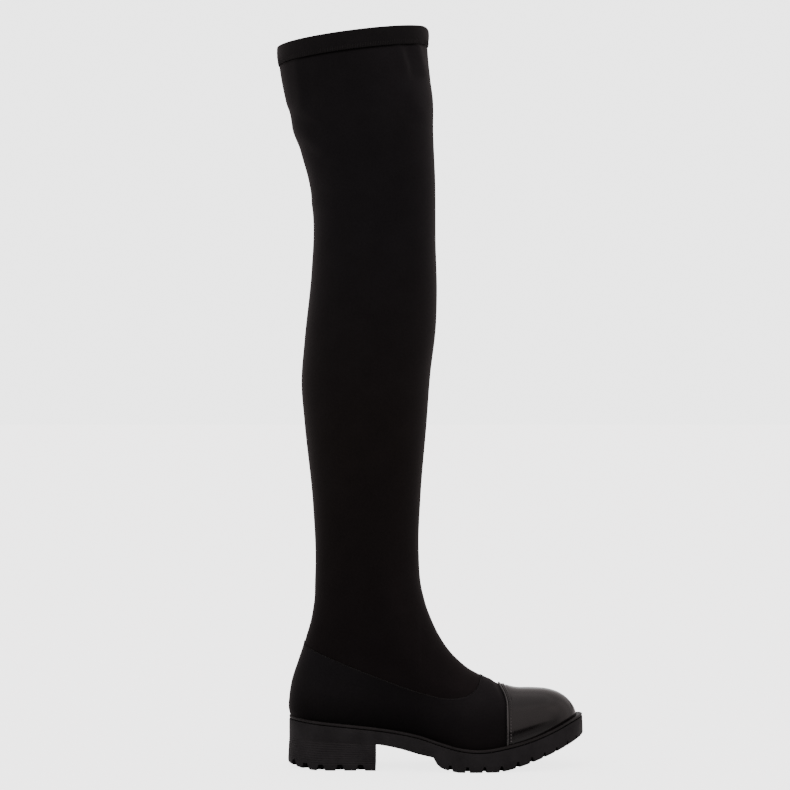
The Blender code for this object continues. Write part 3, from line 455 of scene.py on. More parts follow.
# Lamps, in metres and watts; the key lights the boot and isn't mirrored, and the cards are only mirrored
CARD_COLOUR = (1.0, 0.83, 0.81)
CARD_ACROSS = [(0.0, 0.0), (0.28, 1.0), (0.72, 1.0), (1.0, 0.0)]
CARD_UP = [(0.0, 1.0), (0.6, 1.0), (1.0, 0.0)]
CAP_MIDDLE = (0.1, -0.02, 0.05)
LAMPS = table(
    "name place target size power colour is_mirrored",
    ("key", (-0.8, -2.6, 3.0), (0.0, 0.0, 0.35), (2.4, 2.4), 25.0, (1.0, 1.0, 1.0), False),
    ("front_card", (0.48, -1.05, 1.05), CAP_MIDDLE, (3.3, 1.65), 6.9, CARD_COLOUR, True),
    ("side_card", (1.35, -0.05, 0.9), CAP_MIDDLE, (1.7, 2.0), 3.4, CARD_COLOUR, True),
)


# Curves and small sums

def hermite(keys, values, at):
    """Smooth curve through the values at the keys."""
    keys = np.asarray(keys, float)
    values = np.asarray(values, float)
    slopes = np.gradient(values, keys)
    at = np.clip(np.asarray(at, float), keys[0], keys[-1])
    low = np.clip(np.searchsorted(keys, at, side="right") - 1, 0, len(keys) - 2)
    span = keys[low + 1] - keys[low]
    part = (at - keys[low]) / span
    start = (1 + 2 * part) * (1 - part) ** 2 * values[low] + part * (1 - part) ** 2 * span * slopes[low]
    end = part ** 2 * (3 - 2 * part) * values[low + 1] + part ** 2 * (part - 1) * span * slopes[low + 1]
    return start + end


def read(rows, key, value, at):
    """Value of one column of a table, smoothly between its rows."""
    return hermite([getattr(row, key) for row in rows], [getattr(row, value) for row in rows], at)


def lengths_along(points):
    return np.concatenate([[0.0], np.cumsum(np.linalg.norm(np.diff(points, axis=0), axis=1))])


def at_lengths(points, run, at):
    return np.column_stack([np.interp(at, run, points[:, axis]) for axis in range(3)])


def trace(rows):
    """Dense points along a side outline, with the length run so far."""
    points = np.array(rows, float)
    run = lengths_along(points)
    at = np.linspace(0.0, run[-1], PROFILE_SAMPLES)
    return hermite(run, points[:, 0], at), hermite(run, points[:, 1], at), at


def ease(value, low, high):
    """0 at low, 1 at high, and a smooth step between; high may be the smaller one."""
    part = np.clip((value - low) / (high - low), 0.0, 1.0)
    return part * part * (3 - 2 * part)


def bell(distance, width):
    return np.exp(-(distance / width) ** 2)


def swing(turn):
    """0 at no turn and 1 at half a turn, slow at both ends."""
    return (1 - np.cos(turn)) / 2


def round_end(distance, radius, power=2.0):
    """Fraction of the full width at a distance from a rounded end."""
    part = np.clip(distance / radius, 0.0, 1.0)
    return (1 - (1 - part) ** power) ** (1 / power)


def unit(vectors):
    return vectors / np.linalg.norm(vectors, axis=-1, keepdims=True)


BACK_X, BACK_Z, _ = trace(BACK_LINE)
FRONT_X, FRONT_Z, FRONT_RUN = trace(FRONT_LINE)
ANKLE_SAMPLE = int(np.argmin(FRONT_X))
TOE_X = float(np.max(FRONT_X))


def back_x(z):
    return np.interp(z, BACK_Z, BACK_X)


def front_x(z):
    return np.interp(z, FRONT_Z, FRONT_X)


def part_across(x, z):
    """0 on the back line of the leg and 1 on its front line."""
    return (x - back_x(z)) / (front_x(z) - back_x(z))


def ridge_z(x):
    """Height of the foot's top line; behind the ankle it carries on steeply, as an open leg."""
    on_foot = np.interp(x, FRONT_X[ANKLE_SAMPLE::-1], FRONT_Z[ANKLE_SAMPLE::-1])
    behind = np.clip(FRONT_X[ANKLE_SAMPLE] - x, 0.0, None)
    return on_foot + LEG_STEEPNESS * behind


def sole_top(x):
    return read(WELT_LINE, "x", "z", x) - WELT_HEIGHT - GAP


def feather_z(x):
    return sole_top(x) + FEATHER_LIFT


def sole_bottom(x):
    """Underside of the outsole: waist, ramp, flat tread and rocker to the toe."""
    x = np.asarray(x, float)
    to_flat = np.clip((FLAT_START - x) / (FLAT_START - RAMP_START), 0.0, 1.0)
    ramp = WAIST_LINE[-1].z * (RAMP_STRAIGHT * to_flat + (1 - RAMP_STRAIGHT) * to_flat ** RAMP_POWER)
    rocker_scale = TOE_SPRING / (SOLE_LENGTH - FLAT_END) ** ROCKER_POWER
    rocker = rocker_scale * np.clip(x - FLAT_END, 0.0, None) ** ROCKER_POWER
    return np.where(x < RAMP_START, read(WAIST_LINE, "x", "z", x), ramp + rocker)


def heel_bottom(x):
    return HEEL_LIFT * np.clip((HEEL_FLAT_X - x) / HEEL_FLAT_X, 0.0, None) ** HEEL_LIFT_POWER


# Form of the boot: half width and centre of the section at a place in the side view

def foot_half(x, z):
    heel_x = BACK_LINE[0].x
    stretch = (HEEL_REACH - heel_x) / (HEEL_REACH - back_x(z))
    plan_x = np.where(x < HEEL_REACH, HEEL_REACH - (HEEL_REACH - x) * stretch, x)
    half = read(FOOT_SECTIONS, "x", "half_width", plan_x)
    half = half * round_end(plan_x - heel_x, HEEL_ROUND) * round_end(TOE_X - x, TOE_ROUND, TOE_POWER)
    rise = np.clip((z - feather_z(x)) / (ridge_z(x) - feather_z(x)), 0.0, 1.0)
    dome = read(FOOT_SECTIONS, "x", "dome", x)
    side = read(FOOT_SECTIONS, "x", "side", x)
    return half * (1 - rise ** dome) ** (1 / side)


def leg_half(x, z):
    part = np.clip(part_across(x, z), 0.0, 1.0)
    square = read(SHAFT_SECTIONS, "z", "square", z)
    outline = (1 - np.abs(2 * part - 1) ** square) ** (1 / square)
    return read(SHAFT_SECTIONS, "z", "half_width", z) * outline


def form_half(x, z):
    leg = ease(z, *FOOT_TO_LEG)
    return (1 - leg) * foot_half(x, z) + leg * leg_half(x, z)


def form_centre(x, z):
    return read(FOOT_SECTIONS, "x", "centre", x) * (1 - ease(z, *FOOT_TO_LEG))


def cap_edge_x(z):
    """Back edge of the toe cap: upright at the side, swept back over the top of the foot."""
    low, high = CAP_SWEEP_Z
    part = np.clip((z - low) / (high - low), 0.0, CAP_SWEEP_LIMIT)
    return CAP_SIDE_X - CAP_SWEEP * part ** CAP_SWEEP_POWER


# Rings round the boot: from the heel along the outer side to the front, and back along the inner side

def turns(columns, start=0.0):
    return np.linspace(start, math.pi, columns + 1)


def both_sides(x, z, half, centre, is_open=False):
    outer = np.column_stack([x, centre - half, z])
    inner = np.column_stack([x, centre + half, z])
    back = inner[-2::-1] if is_open else inner[-2:0:-1]
    return np.vstack([outer, back])


def ring_between(back_z, front, heights, turn):
    """Ring from the back line at one height to a point of the front line, along the given heights."""
    part = swing(turn)
    start_x = float(back_x(back_z))
    span = front[0] - start_x
    end_z = heights(start_x + span * np.array([0.0, 1.0]), np.array([0.0, math.pi]))
    x = start_x + span * part
    z = heights(x, turn) + (back_z - end_z[0]) * (1 - part) ** RING_ENDS_POWER
    z = z + (front[1] - end_z[1]) * part ** RING_ENDS_POWER
    half = form_half(x, z)
    half[-1] = 0.0
    return both_sides(x, z, half, form_centre(x, z), turn[0] > 0)


def front_point(run):
    return float(np.interp(run, FRONT_RUN, FRONT_X)), float(np.interp(run, FRONT_RUN, FRONT_Z))


def front_run_at_z(z):
    return float(np.interp(z, FRONT_Z, FRONT_RUN))


def seam_z(turn):
    return read(SEAM_LINE, "turn", "z", np.degrees(turn))


SEAM_BACK_Z = SEAM_LINE[0].z
SEAM_RUN = front_run_at_z(float(ridge_z(SEAM_FRONT_X)))
TOE_RUN = front_run_at_z(float(feather_z(FRONT_LINE[0].x)))
FEATHER_BACK_Z = float(feather_z(BACK_LINE[0].x))


def foot_ring(level, turn):
    """Ring of the foot, from the feather line at level 0 to the foot seam at level 1."""
    back = FEATHER_BACK_Z + (SEAM_BACK_Z - FEATHER_BACK_Z) * level
    front = front_point(TOE_RUN + (SEAM_RUN - TOE_RUN) * level)
    return ring_between(back, front, lambda x, t: (1 - level) * feather_z(x) + level * seam_z(t), turn)


def instep_ring(level, turn):
    """Ring of the ankle, from the foot seam at level 0 to the narrow ankle at level 1."""
    back = SEAM_BACK_Z + (ANKLE_Z - SEAM_BACK_Z) * level
    front = front_point(SEAM_RUN + (front_run_at_z(ANKLE_Z) - SEAM_RUN) * level)
    return ring_between(back, front, lambda x, t: (1 - level) * seam_z(t) + level * ANKLE_Z, turn)


def leg_ring(back_z, front_z, turn):
    front = front_point(front_run_at_z(front_z))
    return ring_between(back_z, front, lambda x, t: back_z + (front_z - back_z) * swing(t), turn)


def collar_ring(drop, turn):
    """Ring of the leg at a drop below the collar edge."""
    return leg_ring(COLLAR_BACK_Z - drop, COLLAR_FRONT_Z - drop, turn)


def closed(points):
    return np.vstack([points, points[:1]])


def grid_normals(grid, is_open=False):
    """Outward normal at each point of a stack of rings that rises."""
    if is_open:
        along = np.gradient(grid, axis=1)
    else:
        along = np.roll(grid, -1, axis=1) - np.roll(grid, 1, axis=1)
    normal = np.cross(along, np.gradient(grid, axis=0))
    return normal / np.maximum(np.linalg.norm(normal, axis=2, keepdims=True), 1e-9)


def raise_grid(grid, height, is_open=False):
    """Grid moved outwards by a height for each point or one for all."""
    height = np.broadcast_to(height, grid.shape[:2])
    return grid + grid_normals(grid, is_open) * height[..., None]


def soften(grid, passes):
    """Open grid with small bends evened out; its first and last rings stay."""
    grid = grid.copy()
    for _ in range(passes):
        up = (grid[:-2] + grid[2:]) / 2
        along = grid.copy()
        along[:, 1:-1] = (grid[:, :-2] + grid[:, 2:]) / 2
        grid[1:-1] = grid[1:-1] / 2 + (up + along[1:-1]) / 4
    return grid


# Meshes from grids of points

def add_object(name, data):
    thing = bpy.data.objects.new(name, data)
    bpy.context.scene.collection.objects.link(thing)
    return thing


def shade_smooth(mesh, sharp):
    """Smooth shading up to an angle, or everywhere where none is given."""
    mesh.polygons.foreach_set("use_smooth", np.ones(len(mesh.polygons), bool))
    if sharp:
        mesh.set_sharp_from_angle(angle=math.radians(sharp))
    mesh.update()


def new_piece(name, points, faces, materials, slots=None, sharp=None, painted_shading=None):
    """Mesh piece from points in mm; slots gives each face's material, sharp an angle for hard edges, and the
    last argument the painted light and shade of the cloth at each point."""
    places = (np.reshape(points, (-1, 3)) - np.array([FRAME_X, 0.0, 0.0])) * MM
    mesh = bpy.data.meshes.new(name)
    mesh.from_pydata(places.tolist(), [], [list(face) for face in faces])
    mesh.validate()
    for material in materials:
        mesh.materials.append(material)
    if slots is not None:
        mesh.polygons.foreach_set("material_index", np.asarray(slots, np.int32))
    if painted_shading is not None:
        mesh.attributes.new("painted_shading", "FLOAT", "POINT").data.foreach_set("value", painted_shading)
    shade_smooth(mesh, sharp)
    return add_object(name, mesh)


def strip_faces(low, high, columns, is_closed=True):
    """Quads between two rows of points, numbered from low and from high."""
    here = np.arange(columns if is_closed else columns - 1)
    ahead = (here + 1) % columns
    return np.column_stack([low + here, low + ahead, high + ahead, high + here])


def grid_faces(rows, columns, first=0, is_closed=True, is_hoop=False):
    """Quads of a grid, numbered row by row from first; the last row of a hoop joins its first row."""
    starts = [first + columns * row for row in range(rows)]
    pairs = list(zip(starts, starts[1:]))
    if is_hoop:
        pairs.append((starts[-1], starts[0]))
    return np.vstack([strip_faces(low, high, columns, is_closed) for low, high in pairs])


def tube_faces(rows, columns):
    """Faces of a tube through rings, closed at both ends."""
    end = list(range(columns))
    return grid_faces(rows, columns).tolist() + [end[::-1], [(rows - 1) * columns + corner for corner in end]]


def cover_faces(columns, first):
    """Strips across a ring, from its first point on."""
    faces = []
    for here in range(columns // 2):
        corners = dict.fromkeys([here, here + 1, columns - here - 1, (columns - here) % columns])
        faces.append([first + corner for corner in corners])
    return faces


def repeat_faces(faces, count, size):
    """Faces of one block of points, for a count of blocks of that size."""
    return [[size * index + corner for corner in face] for index in range(count) for face in faces]


def make_shell(name, grid, inside, materials, painted_shading):
    """Closed shell between an outer and an inner grid of one size; the inside takes the second material."""
    rows, columns = grid.shape[:2]
    count = rows * columns
    top = count - columns
    outer = grid_faces(rows, columns)
    inner = grid_faces(rows, columns, count)[:, ::-1]
    faces = np.vstack([outer, inner, strip_faces(top, count + top, columns), strip_faces(count, 0, columns)])
    slots = np.repeat([0, 1, 0], [len(outer), len(inner), 2 * columns])
    # The painted light and shade go on the outside alone; the inside gets none
    painted_shading = np.concatenate([painted_shading.reshape(-1), np.ones(count)])
    return new_piece(name, [grid, inside], faces, materials, slots, SHARP_SHELL, painted_shading)


def make_hoop(name, rings, material):
    """Closed hoop through rings that come back to the first one."""
    faces = grid_faces(len(rings), len(rings[0]), is_hoop=True)
    return new_piece(name, rings, faces, [material], sharp=SHARP_HOOP)


def make_block(name, rings, material):
    """Solid through a stack of rings, closed across its bottom and top."""
    rows = len(rings)
    columns = len(rings[0])
    faces = grid_faces(rows, columns).tolist()
    faces += [face[::-1] for face in cover_faces(columns, 0)]
    faces += cover_faces(columns, (rows - 1) * columns)
    return new_piece(name, rings, faces, [material], sharp=SHARP_MOULDED)


def settle(piece, sharp):
    """Piece with its modifiers built into its mesh, shaded smooth up to an angle."""
    bpy.context.view_layer.update()
    evaluated = piece.evaluated_get(bpy.context.evaluated_depsgraph_get())
    mesh = bpy.data.meshes.new_from_object(evaluated)
    piece.modifiers.clear()
    piece.data = mesh
    shade_smooth(mesh, sharp)
    return piece


def cut_with(piece, cutters):
    """Moulded piece with the cutters taken out of it."""
    for cutter in cutters:
        cut = piece.modifiers.new(cutter.name, "BOOLEAN")
        cut.operation = "DIFFERENCE"
        cut.solver = "EXACT"
        cut.object = cutter
    settle(piece, SHARP_MOULDED)
    for cutter in cutters:
        bpy.data.objects.remove(cutter, do_unlink=True)
    return piece


def make_stitches(name, starts, ends, normals, radius, thread):
    """Row of short threads, each a rounded bar that arches a little off the surface; all in one mesh."""
    rows = len(STITCH_THICKNESS)
    part = np.linspace(0.0, 1.0, rows)
    arch = np.sin(part * math.pi) * STITCH_ARCH - STITCH_SINK
    angle = np.linspace(0.0, 2 * math.pi, STITCH_SIDES, endpoint=False)
    thickness = radius * np.array(STITCH_THICKNESS)[:, None, None]
    points = []
    for start, end, normal in zip(starts, ends, normals):
        along = unit(end - start)
        normal = unit(normal - along * np.dot(normal, along))
        across = np.cross(normal, along)
        centre = start + np.outer(part, end - start) + np.outer(arch * radius, normal)
        ring = np.outer(np.cos(angle), across) + np.outer(np.sin(angle), normal)
        points.append(centre[:, None] + thickness * ring)
    faces = repeat_faces(tube_faces(rows, STITCH_SIDES), len(points), rows * STITCH_SIDES)
    return new_piece(name, points, faces, [thread])


def stitch_round(name, low, high, high_run, facing, pitch, lean, radius, thread):
    """Stitches all round the boot from a low ring to a high one, whose lengths along it are given."""
    run = lengths_along(closed(low))
    count = int(run[-1] / pitch)
    share = np.arange(count) / count
    starts = at_lengths(closed(low), run, share * run[-1])
    ends = at_lengths(closed(high), high_run, (share + lean / run[-1]) % 1.0 * high_run[-1])
    normals = at_lengths(closed(facing), run, share * run[-1])
    return make_stitches(name, starts, ends, normals, radius, thread)


# Nodes of materials, world and lamps

def fill(tree, node, inputs):
    """Sets a node's inputs; each takes a number, a colour or another node's output."""
    for name, value in inputs.items():
        if isinstance(value, bpy.types.NodeSocket):
            tree.links.new(value, node.inputs[name])
        else:
            node.inputs[name].default_value = value


def add_node(tree, kind, inputs, **settings):
    node = tree.nodes.new(kind)
    for name, value in settings.items():
        setattr(node, name, value)
    fill(tree, node, inputs)
    return node


def split_xyz(tree, vector):
    return add_node(tree, "ShaderNodeSeparateXYZ", {"Vector": vector}).outputs


def combine(tree, operation, first, second):
    """Number from two numbers."""
    return add_node(tree, "ShaderNodeMath", {0: first, 1: second}, operation=operation).outputs["Value"]


def mix(tree, share, first, second, way="MIX"):
    """Colour from two colours."""
    inputs = {"Factor": share, "A": first, "B": second}
    return add_node(tree, "ShaderNodeMix", inputs, data_type="RGBA", blend_type=way).outputs["Result"]


def add_range(tree, value, span, limits=(0.0, 1.0)):
    """Number that goes from one limit to the other as a value goes through a span."""
    inputs = {"Value": value, "From Min": span[0], "From Max": span[1]}
    inputs.update({"To Min": limits[0], "To Max": limits[1]})
    return add_node(tree, "ShaderNodeMapRange", inputs).outputs["Result"]


def add_ramp(tree, value, marks):
    """Colour by a value; each mark has its place on the ramp and its colour."""
    ramp = add_node(tree, "ShaderNodeValToRGB", {"Fac": value})
    elements = ramp.color_ramp.elements
    while len(elements) < len(marks):
        elements.new(0.5)
    for element, (place, colour) in zip(elements, marks):
        element.position = place
        element.color = (*colour, 1.0)
    return ramp.outputs["Color"]


def tinted(levels, tint=(1.0, 1.0, 1.0)):
    """Marks of a ramp from places and levels of one tint."""
    return [(place, tuple(level * part for part in tint)) for place, level in levels]


# Materials

def set_shader(material, inputs):
    fill(material.node_tree, material.node_tree.nodes["Principled BSDF"], inputs)


def new_material(name, colour, settings):
    material = bpy.data.materials.new(name)
    material.use_nodes = True
    set_shader(material, {"Base Color": (*colour, 1.0), **settings})
    return material


def add_noise(tree, noise):
    """Noise in the boot's own metres."""
    place = add_node(tree, "ShaderNodeTexCoord", {}).outputs["Object"]
    inputs = {"Vector": place, "Scale": noise.scale, "Detail": noise.detail, "Roughness": NOISE_ROUGHNESS}
    return add_node(tree, "ShaderNodeTexNoise", inputs).outputs["Fac"]


def add_bumps(tree, *bumps):
    """Normal from bumps in a chain; each is a noise and its value."""
    chain = {}
    for noise, value in bumps:
        inputs = {"Height": value, "Strength": noise.strength, "Distance": noise.depth * MM, **chain}
        chain = {"Normal": add_node(tree, "ShaderNodeBump", inputs).outputs["Normal"]}
    return chain["Normal"]


def add_height_tones(tree, tones):
    """Colour by height above the floor; each tone has a height in mm."""
    place = add_node(tree, "ShaderNodeTexCoord", {}).outputs["Object"]
    height = combine(tree, "DIVIDE", split_xyz(tree, place)["Z"], COLLAR_FRONT_Z * MM)
    return add_ramp(tree, height, [(z / COLLAR_FRONT_Z, tone) for z, tone in tones])


def two_tones(tree, noise, tones):
    """Colour between two tones by a noise."""
    return add_ramp(tree, noise, list(zip(NOISE_SPAN, tones)))


def vary(tree, colour, noise, limits):
    """Colour made darker or lighter between two factors by a noise."""
    return mix(tree, 1.0, colour, add_ramp(tree, noise, tinted(zip(NOISE_SPAN, limits))), "MULTIPLY")


def make_cloth(name, tones, has_painted_shading=False):
    """Black stretch cloth with a short suede nap; on pieces that carry it, painted light and shade darken or
    lighten it.
    """
    cloth = new_material(name, tones[0][1], CLOTH)
    tree = cloth.node_tree
    patches = add_noise(tree, CLOTH_PATCHES)
    nap = add_noise(tree, CLOTH_NAP)
    fibre = add_noise(tree, CLOTH_FIBRE)
    colour = vary(tree, add_height_tones(tree, tones), patches, CLOTH_PATCH_SHADES)
    # Painted light and shade stored on the piece multiply the cloth's colour
    if has_painted_shading:
        painted_shading = add_node(tree, "ShaderNodeAttribute", {}, attribute_name="painted_shading")
        colour = mix(tree, 1.0, colour, painted_shading.outputs["Color"], "MULTIPLY")
    set_shader(cloth, {
        "Base Color": vary(tree, colour, nap, CLOTH_NAP_SHADES),
        "Roughness": add_range(tree, nap, NOISE_SPAN, CLOTH_ROUGHNESS),
        "Normal": add_bumps(tree, (CLOTH_PATCHES, patches), (CLOTH_NAP, nap), (CLOTH_FIBRE, fibre)),
    })
    return cloth


def make_lining():
    """Dark knitted inner face."""
    lining = new_material("lining_knit", LINING_TONE, LINING)
    tree = lining.node_tree
    set_shader(lining, {
        "Base Color": two_tones(tree, add_noise(tree, LINING_PATCHES), LINING_TONES),
        "Normal": add_bumps(tree, (LINING_KNIT, add_noise(tree, LINING_KNIT))),
    })
    return lining


def make_patent(name, coat_roughness, shine):
    """Black patent: a smooth dark film under a clear coat."""
    settings = {**PATENT, "Coat Roughness": coat_roughness, "Specular IOR Level": shine}
    patent = new_material(name, PATENT_TONE, settings)
    tree = patent.node_tree
    film = add_noise(tree, PATENT_FILM)
    grain = add_noise(tree, PATENT_GRAIN)
    set_shader(patent, {
        "Base Color": two_tones(tree, film, PATENT_TONES),
        "Roughness": add_range(tree, grain, NOISE_SPAN, PATENT_ROUGHNESS),
        "Normal": add_bumps(tree, (PATENT_FILM, film), (PATENT_GRAIN, grain)),
    })
    return patent


def make_rubber(name, tone, roughness, shine):
    """Moulded black rubber with a satin skin."""
    rubber = new_material(name, tone, {"Roughness": RUBBER_MEAN_ROUGHNESS, "Specular IOR Level": shine})
    tree = rubber.node_tree
    cloud = add_noise(tree, RUBBER_CLOUD)
    skin = add_noise(tree, RUBBER_SKIN)
    tones = [tuple(share * value for value in tone) for share in RUBBER_SHADES]
    set_shader(rubber, {
        "Base Color": two_tones(tree, cloud, tones),
        "Roughness": add_range(tree, skin, NOISE_SPAN, roughness),
        "Normal": add_bumps(tree, (RUBBER_CLOUD, cloud), (RUBBER_SKIN, skin)),
    })
    return rubber


def make_thread(name, tones):
    """Twisted thread, with its tones by height; the seam and cap threads carry painted highlights in them."""
    thread = new_material(name, tones[0][1], THREAD)
    tree = thread.node_tree
    twist = add_noise(tree, THREAD_TWIST)
    set_shader(thread, {
        "Base Color": vary(tree, add_height_tones(tree, tones), twist, THREAD_SHADES),
        "Normal": add_bumps(tree, (THREAD_TWIST, twist)),
    })
    return thread


# Upper and shaft

def fold_relief(grid):
    """Height of the listed folds at each point of the leg."""
    relief = np.zeros(grid.shape[:2])
    for fold in LEG_FOLDS:
        start = np.array([fold.x, fold.z])
        line = np.array([fold.to_x, fold.to_z]) - start
        place = grid[..., [0, 2]] - start
        part = np.clip(place @ line / (line @ line), 0.0, 1.0)
        away = np.linalg.norm(place - part[..., None] * line, axis=-1)
        relief += fold.height * bell(away, fold.width)
    return relief


def leg_grid():
    turn = turns(LEG_COLUMNS)
    seam_gap = GAP / (ANKLE_Z - SEAM_BACK_Z)
    levels = seam_gap + (1 - seam_gap) * np.linspace(0, 1, INSTEP_RINGS) ** INSTEP_CLOSER_AT_SEAM
    lower = [instep_ring(level, turn) for level in levels]
    back = COLLAR_BACK_Z - HEM_ZONE - ANKLE_Z
    front = COLLAR_FRONT_Z - HEM_ZONE - ANKLE_Z
    upper = [leg_ring(ANKLE_Z + back * level, ANKLE_Z + front * level, turn)
             for level in np.linspace(0.0, 1.0, LEG_RINGS)[1:]]
    hem = [collar_ring(drop, turn) for drop in np.linspace(HEM_ZONE, PANEL + GAP, HEM_RINGS)[1:]]
    return np.array(lower + upper + hem)


def collar_drop(grid):
    """Drop of each point below the collar edge."""
    start_x = back_x(COLLAR_BACK_Z)
    part = np.clip((grid[..., 0] - start_x) / (front_x(COLLAR_FRONT_Z) - start_x), 0, 1)
    return COLLAR_BACK_Z + (COLLAR_FRONT_Z - COLLAR_BACK_Z) * part - grid[..., 2]


def leg_painted_shading(grid):
    """Painted light and shade of the leg: painted light to the front, above the knee and at the instep, and
    painted shade under the band.
    """
    x = grid[..., 0]
    z = grid[..., 2]
    light = 1 + VAMP_PAINTED_LIGHT * ease(x, *VAMP_PAINTED_LIGHT_X) * ease(z, *VAMP_PAINTED_LIGHT_Z)
    for row in LEG_PAINTED_LIGHT:
        light = light + row.amount * ease(part_across(x, z), *row.front) * ease(z, *row.z)
    return light * (1 - HEM_PAINTED_SHADE * bell(collar_drop(grid) - HEM_PAINTED_SHADE_DROP, HEM_PAINTED_SHADE_WIDTH))


def make_leg(cloth, lining):
    grid = leg_grid()
    near_seam = np.linalg.norm(grid - grid[:1], axis=2)
    relief = fold_relief(grid) - HEM_PULL * bell(collar_drop(grid) - HEM_PULL_DROP, HEM_PULL_WIDTH)
    relief = relief - LAP_SHADOW_SINK * bell(near_seam, LAP_RUN)
    inside = raise_grid(grid, FOLD_INSIDE * relief - WALL)
    return make_shell("leg", raise_grid(grid, relief), inside, [cloth, lining], leg_painted_shading(grid))


def foot_painted_shading(grid):
    """Painted light and shade of the foot: painted shade along the welt and over the arch, painted light on
    the vamp.
    """
    x = grid[..., 0]
    rise = grid[..., 2] - feather_z(x)
    side = read(FOOT_PAINTED_SHADING, "rise", "side", rise) * (1 - ARCH_PAINTED_SHADE * bell(x - ARCH_X, ARCH_RUN))
    vamp = read(FOOT_PAINTED_SHADING, "rise", "vamp", rise)
    return side + (vamp - side) * ease(x, *VAMP_X)


def make_foot(cloth, lining):
    turn = turns(FOOT_COLUMNS)
    levels = 1 - (1 - np.linspace(0.0, 1.0, FOOT_RINGS)) ** FOOT_CLOSER_AT_SEAM
    grid = np.array([foot_ring(level, turn) for level in levels])
    ahead = grid[..., 0] - cap_edge_x(grid[..., 2])
    recess = CAP_RECESS * ease(ahead, *CAP_RECESS_AHEAD)
    lap = LAP_LIFT * bell(np.linalg.norm(grid - grid[-1:], axis=2), LAP_RUN)
    inside = raise_grid(grid, -WALL - recess)
    return make_shell("foot", raise_grid(grid, lap - recess), inside, [cloth, lining], foot_painted_shading(grid))


def seam_ring(step, lift, turn):
    """Ring a step above or below the foot seam, along the surface and lifted off it, and its normals."""
    steps = step + SEAM_STEP * np.array([-1.0, 0.0, 1.0])
    if step <= 0:
        rings = [foot_ring(1 + way / (SEAM_BACK_Z - FEATHER_BACK_Z), turn) for way in steps]
    else:
        rings = [instep_ring(way / (ANKLE_Z - SEAM_BACK_Z), turn) for way in steps]
    grid = np.array(rings)
    return raise_grid(grid, lift)[1], grid_normals(grid)[1]


def make_seam_stitches(thread):
    turn = turns(STITCH_SAMPLES)
    low, normals = seam_ring(-SEAM_STITCH_BELOW, LAP_LIFT, turn)
    high, _ = seam_ring(SEAM_STITCH_ABOVE, SEAM_STITCH_TOP_LIFT, turn)
    return stitch_round("seam_stitches", low, high, lengths_along(closed(high)), normals,
                        SEAM_STITCH_PITCH, SEAM_STITCH_LEAN, SEAM_STITCH_RADIUS, thread)


# Collar band

def band_level(drop, depth, turn):
    """Ring of the band, moved in from the shaft's face by a depth, or out by a negative one."""
    rings = np.array([collar_ring(drop + step, turn) for step in (BAND_STEP, 0.0, -BAND_STEP)])
    ring = raise_grid(rings, -depth)[1]
    both = np.concatenate([turn, turn[-2:0:-1]])
    ring[:, 2] -= BAND_DIP * ease(both, BAND_DIP_TURN, math.pi) ** 2 * (1 - ease(drop, 0.0, BAND_DIP_DROP))
    return ring


def make_band(cloth):
    """Folded band, puckered and scalloped by its row of stitches."""
    turn = turns(BAND_COLUMNS)
    run = lengths_along(closed(collar_ring(BAND_HEIGHT, turn)))
    waves = int(run[-1] / BAND_STITCH_PITCH)
    wave = np.cos(2 * math.pi * waves * run[:-1] / run[-1])
    rings = []
    for row in BAND_PROFILE:
        ring = band_level(row.drop, row.depth + row.pucker * BAND_PUCKER * wave, turn)
        ring[:, 2] += row.scallop * BAND_SCALLOP * wave
        rings.append(ring)
    return make_hoop("band", rings, cloth)


def make_band_stitches(thread):
    turn = turns(STITCH_SAMPLES)
    low = band_level(BAND_STITCH_DROP, BAND_STITCH_DEPTH, turn)
    high = band_level(BAND_STITCH_TOP_DROP, BAND_STITCH_TOP_DEPTH, turn)
    outer = band_level(BAND_STITCH_DROP, BAND_STITCH_DEPTH - BAND_STEP, turn)
    return stitch_round("band_stitches", low, high, lengths_along(closed(low)), outer - low,
                        BAND_STITCH_PITCH, BAND_STITCH_LEAN, BAND_STITCH_RADIUS, thread)


# Toe cap

def cap_rings():
    """Rings of the cap from the feather line up, each from back edge to back edge round the toe."""
    fine = turns(EDGE_SAMPLES, CAP_FROM_TURN)

    def ahead_of_edge(level):
        ring = foot_ring(level, fine)[:len(fine)]
        return np.maximum.accumulate(ring[:, 0] - cap_edge_x(ring[:, 2]))

    low, high = CAP_TOP_LEVELS
    for _ in range(CAP_TOP_ROUNDS):
        middle = (low + high) / 2
        if ahead_of_edge(middle)[-1] > 0:
            low = middle
        else:
            high = middle
    spacing = np.linspace(0.0, 1.0, CAP_COLUMNS + 1) ** CAP_CLOSER_AT_EDGE
    rings = []
    for level in low * (1 - (1 - np.linspace(0.0, 1.0, CAP_RINGS)) ** CAP_CLOSER_AT_EDGE):
        start = float(np.interp(0.0, ahead_of_edge(level), fine))
        rings.append(foot_ring(level, start + (math.pi - start) * spacing))
    return np.array(rings)


def make_toe_cap(patent):
    grid = soften(cap_rings(), CAP_SMOOTH_PASSES)
    ahead = grid[..., 0] - cap_edge_x(grid[..., 2])
    margin = CAP_MARGIN_SINK * ease(ahead, *CAP_MARGIN_AHEAD)
    groove = CAP_GROOVE_DEPTH * bell(ahead - CAP_GROOVE_AHEAD, CAP_GROOVE_WIDTH)
    grid = raise_grid(grid, -margin - groove, is_open=True)
    cap = new_piece("cap", grid, grid_faces(*grid.shape[:2], is_closed=False), [patent])
    wall = cap.modifiers.new("wall", "SOLIDIFY")
    wall.thickness = PANEL * MM
    wall.offset = -1.0
    return settle(cap, SHARP_SHELL)


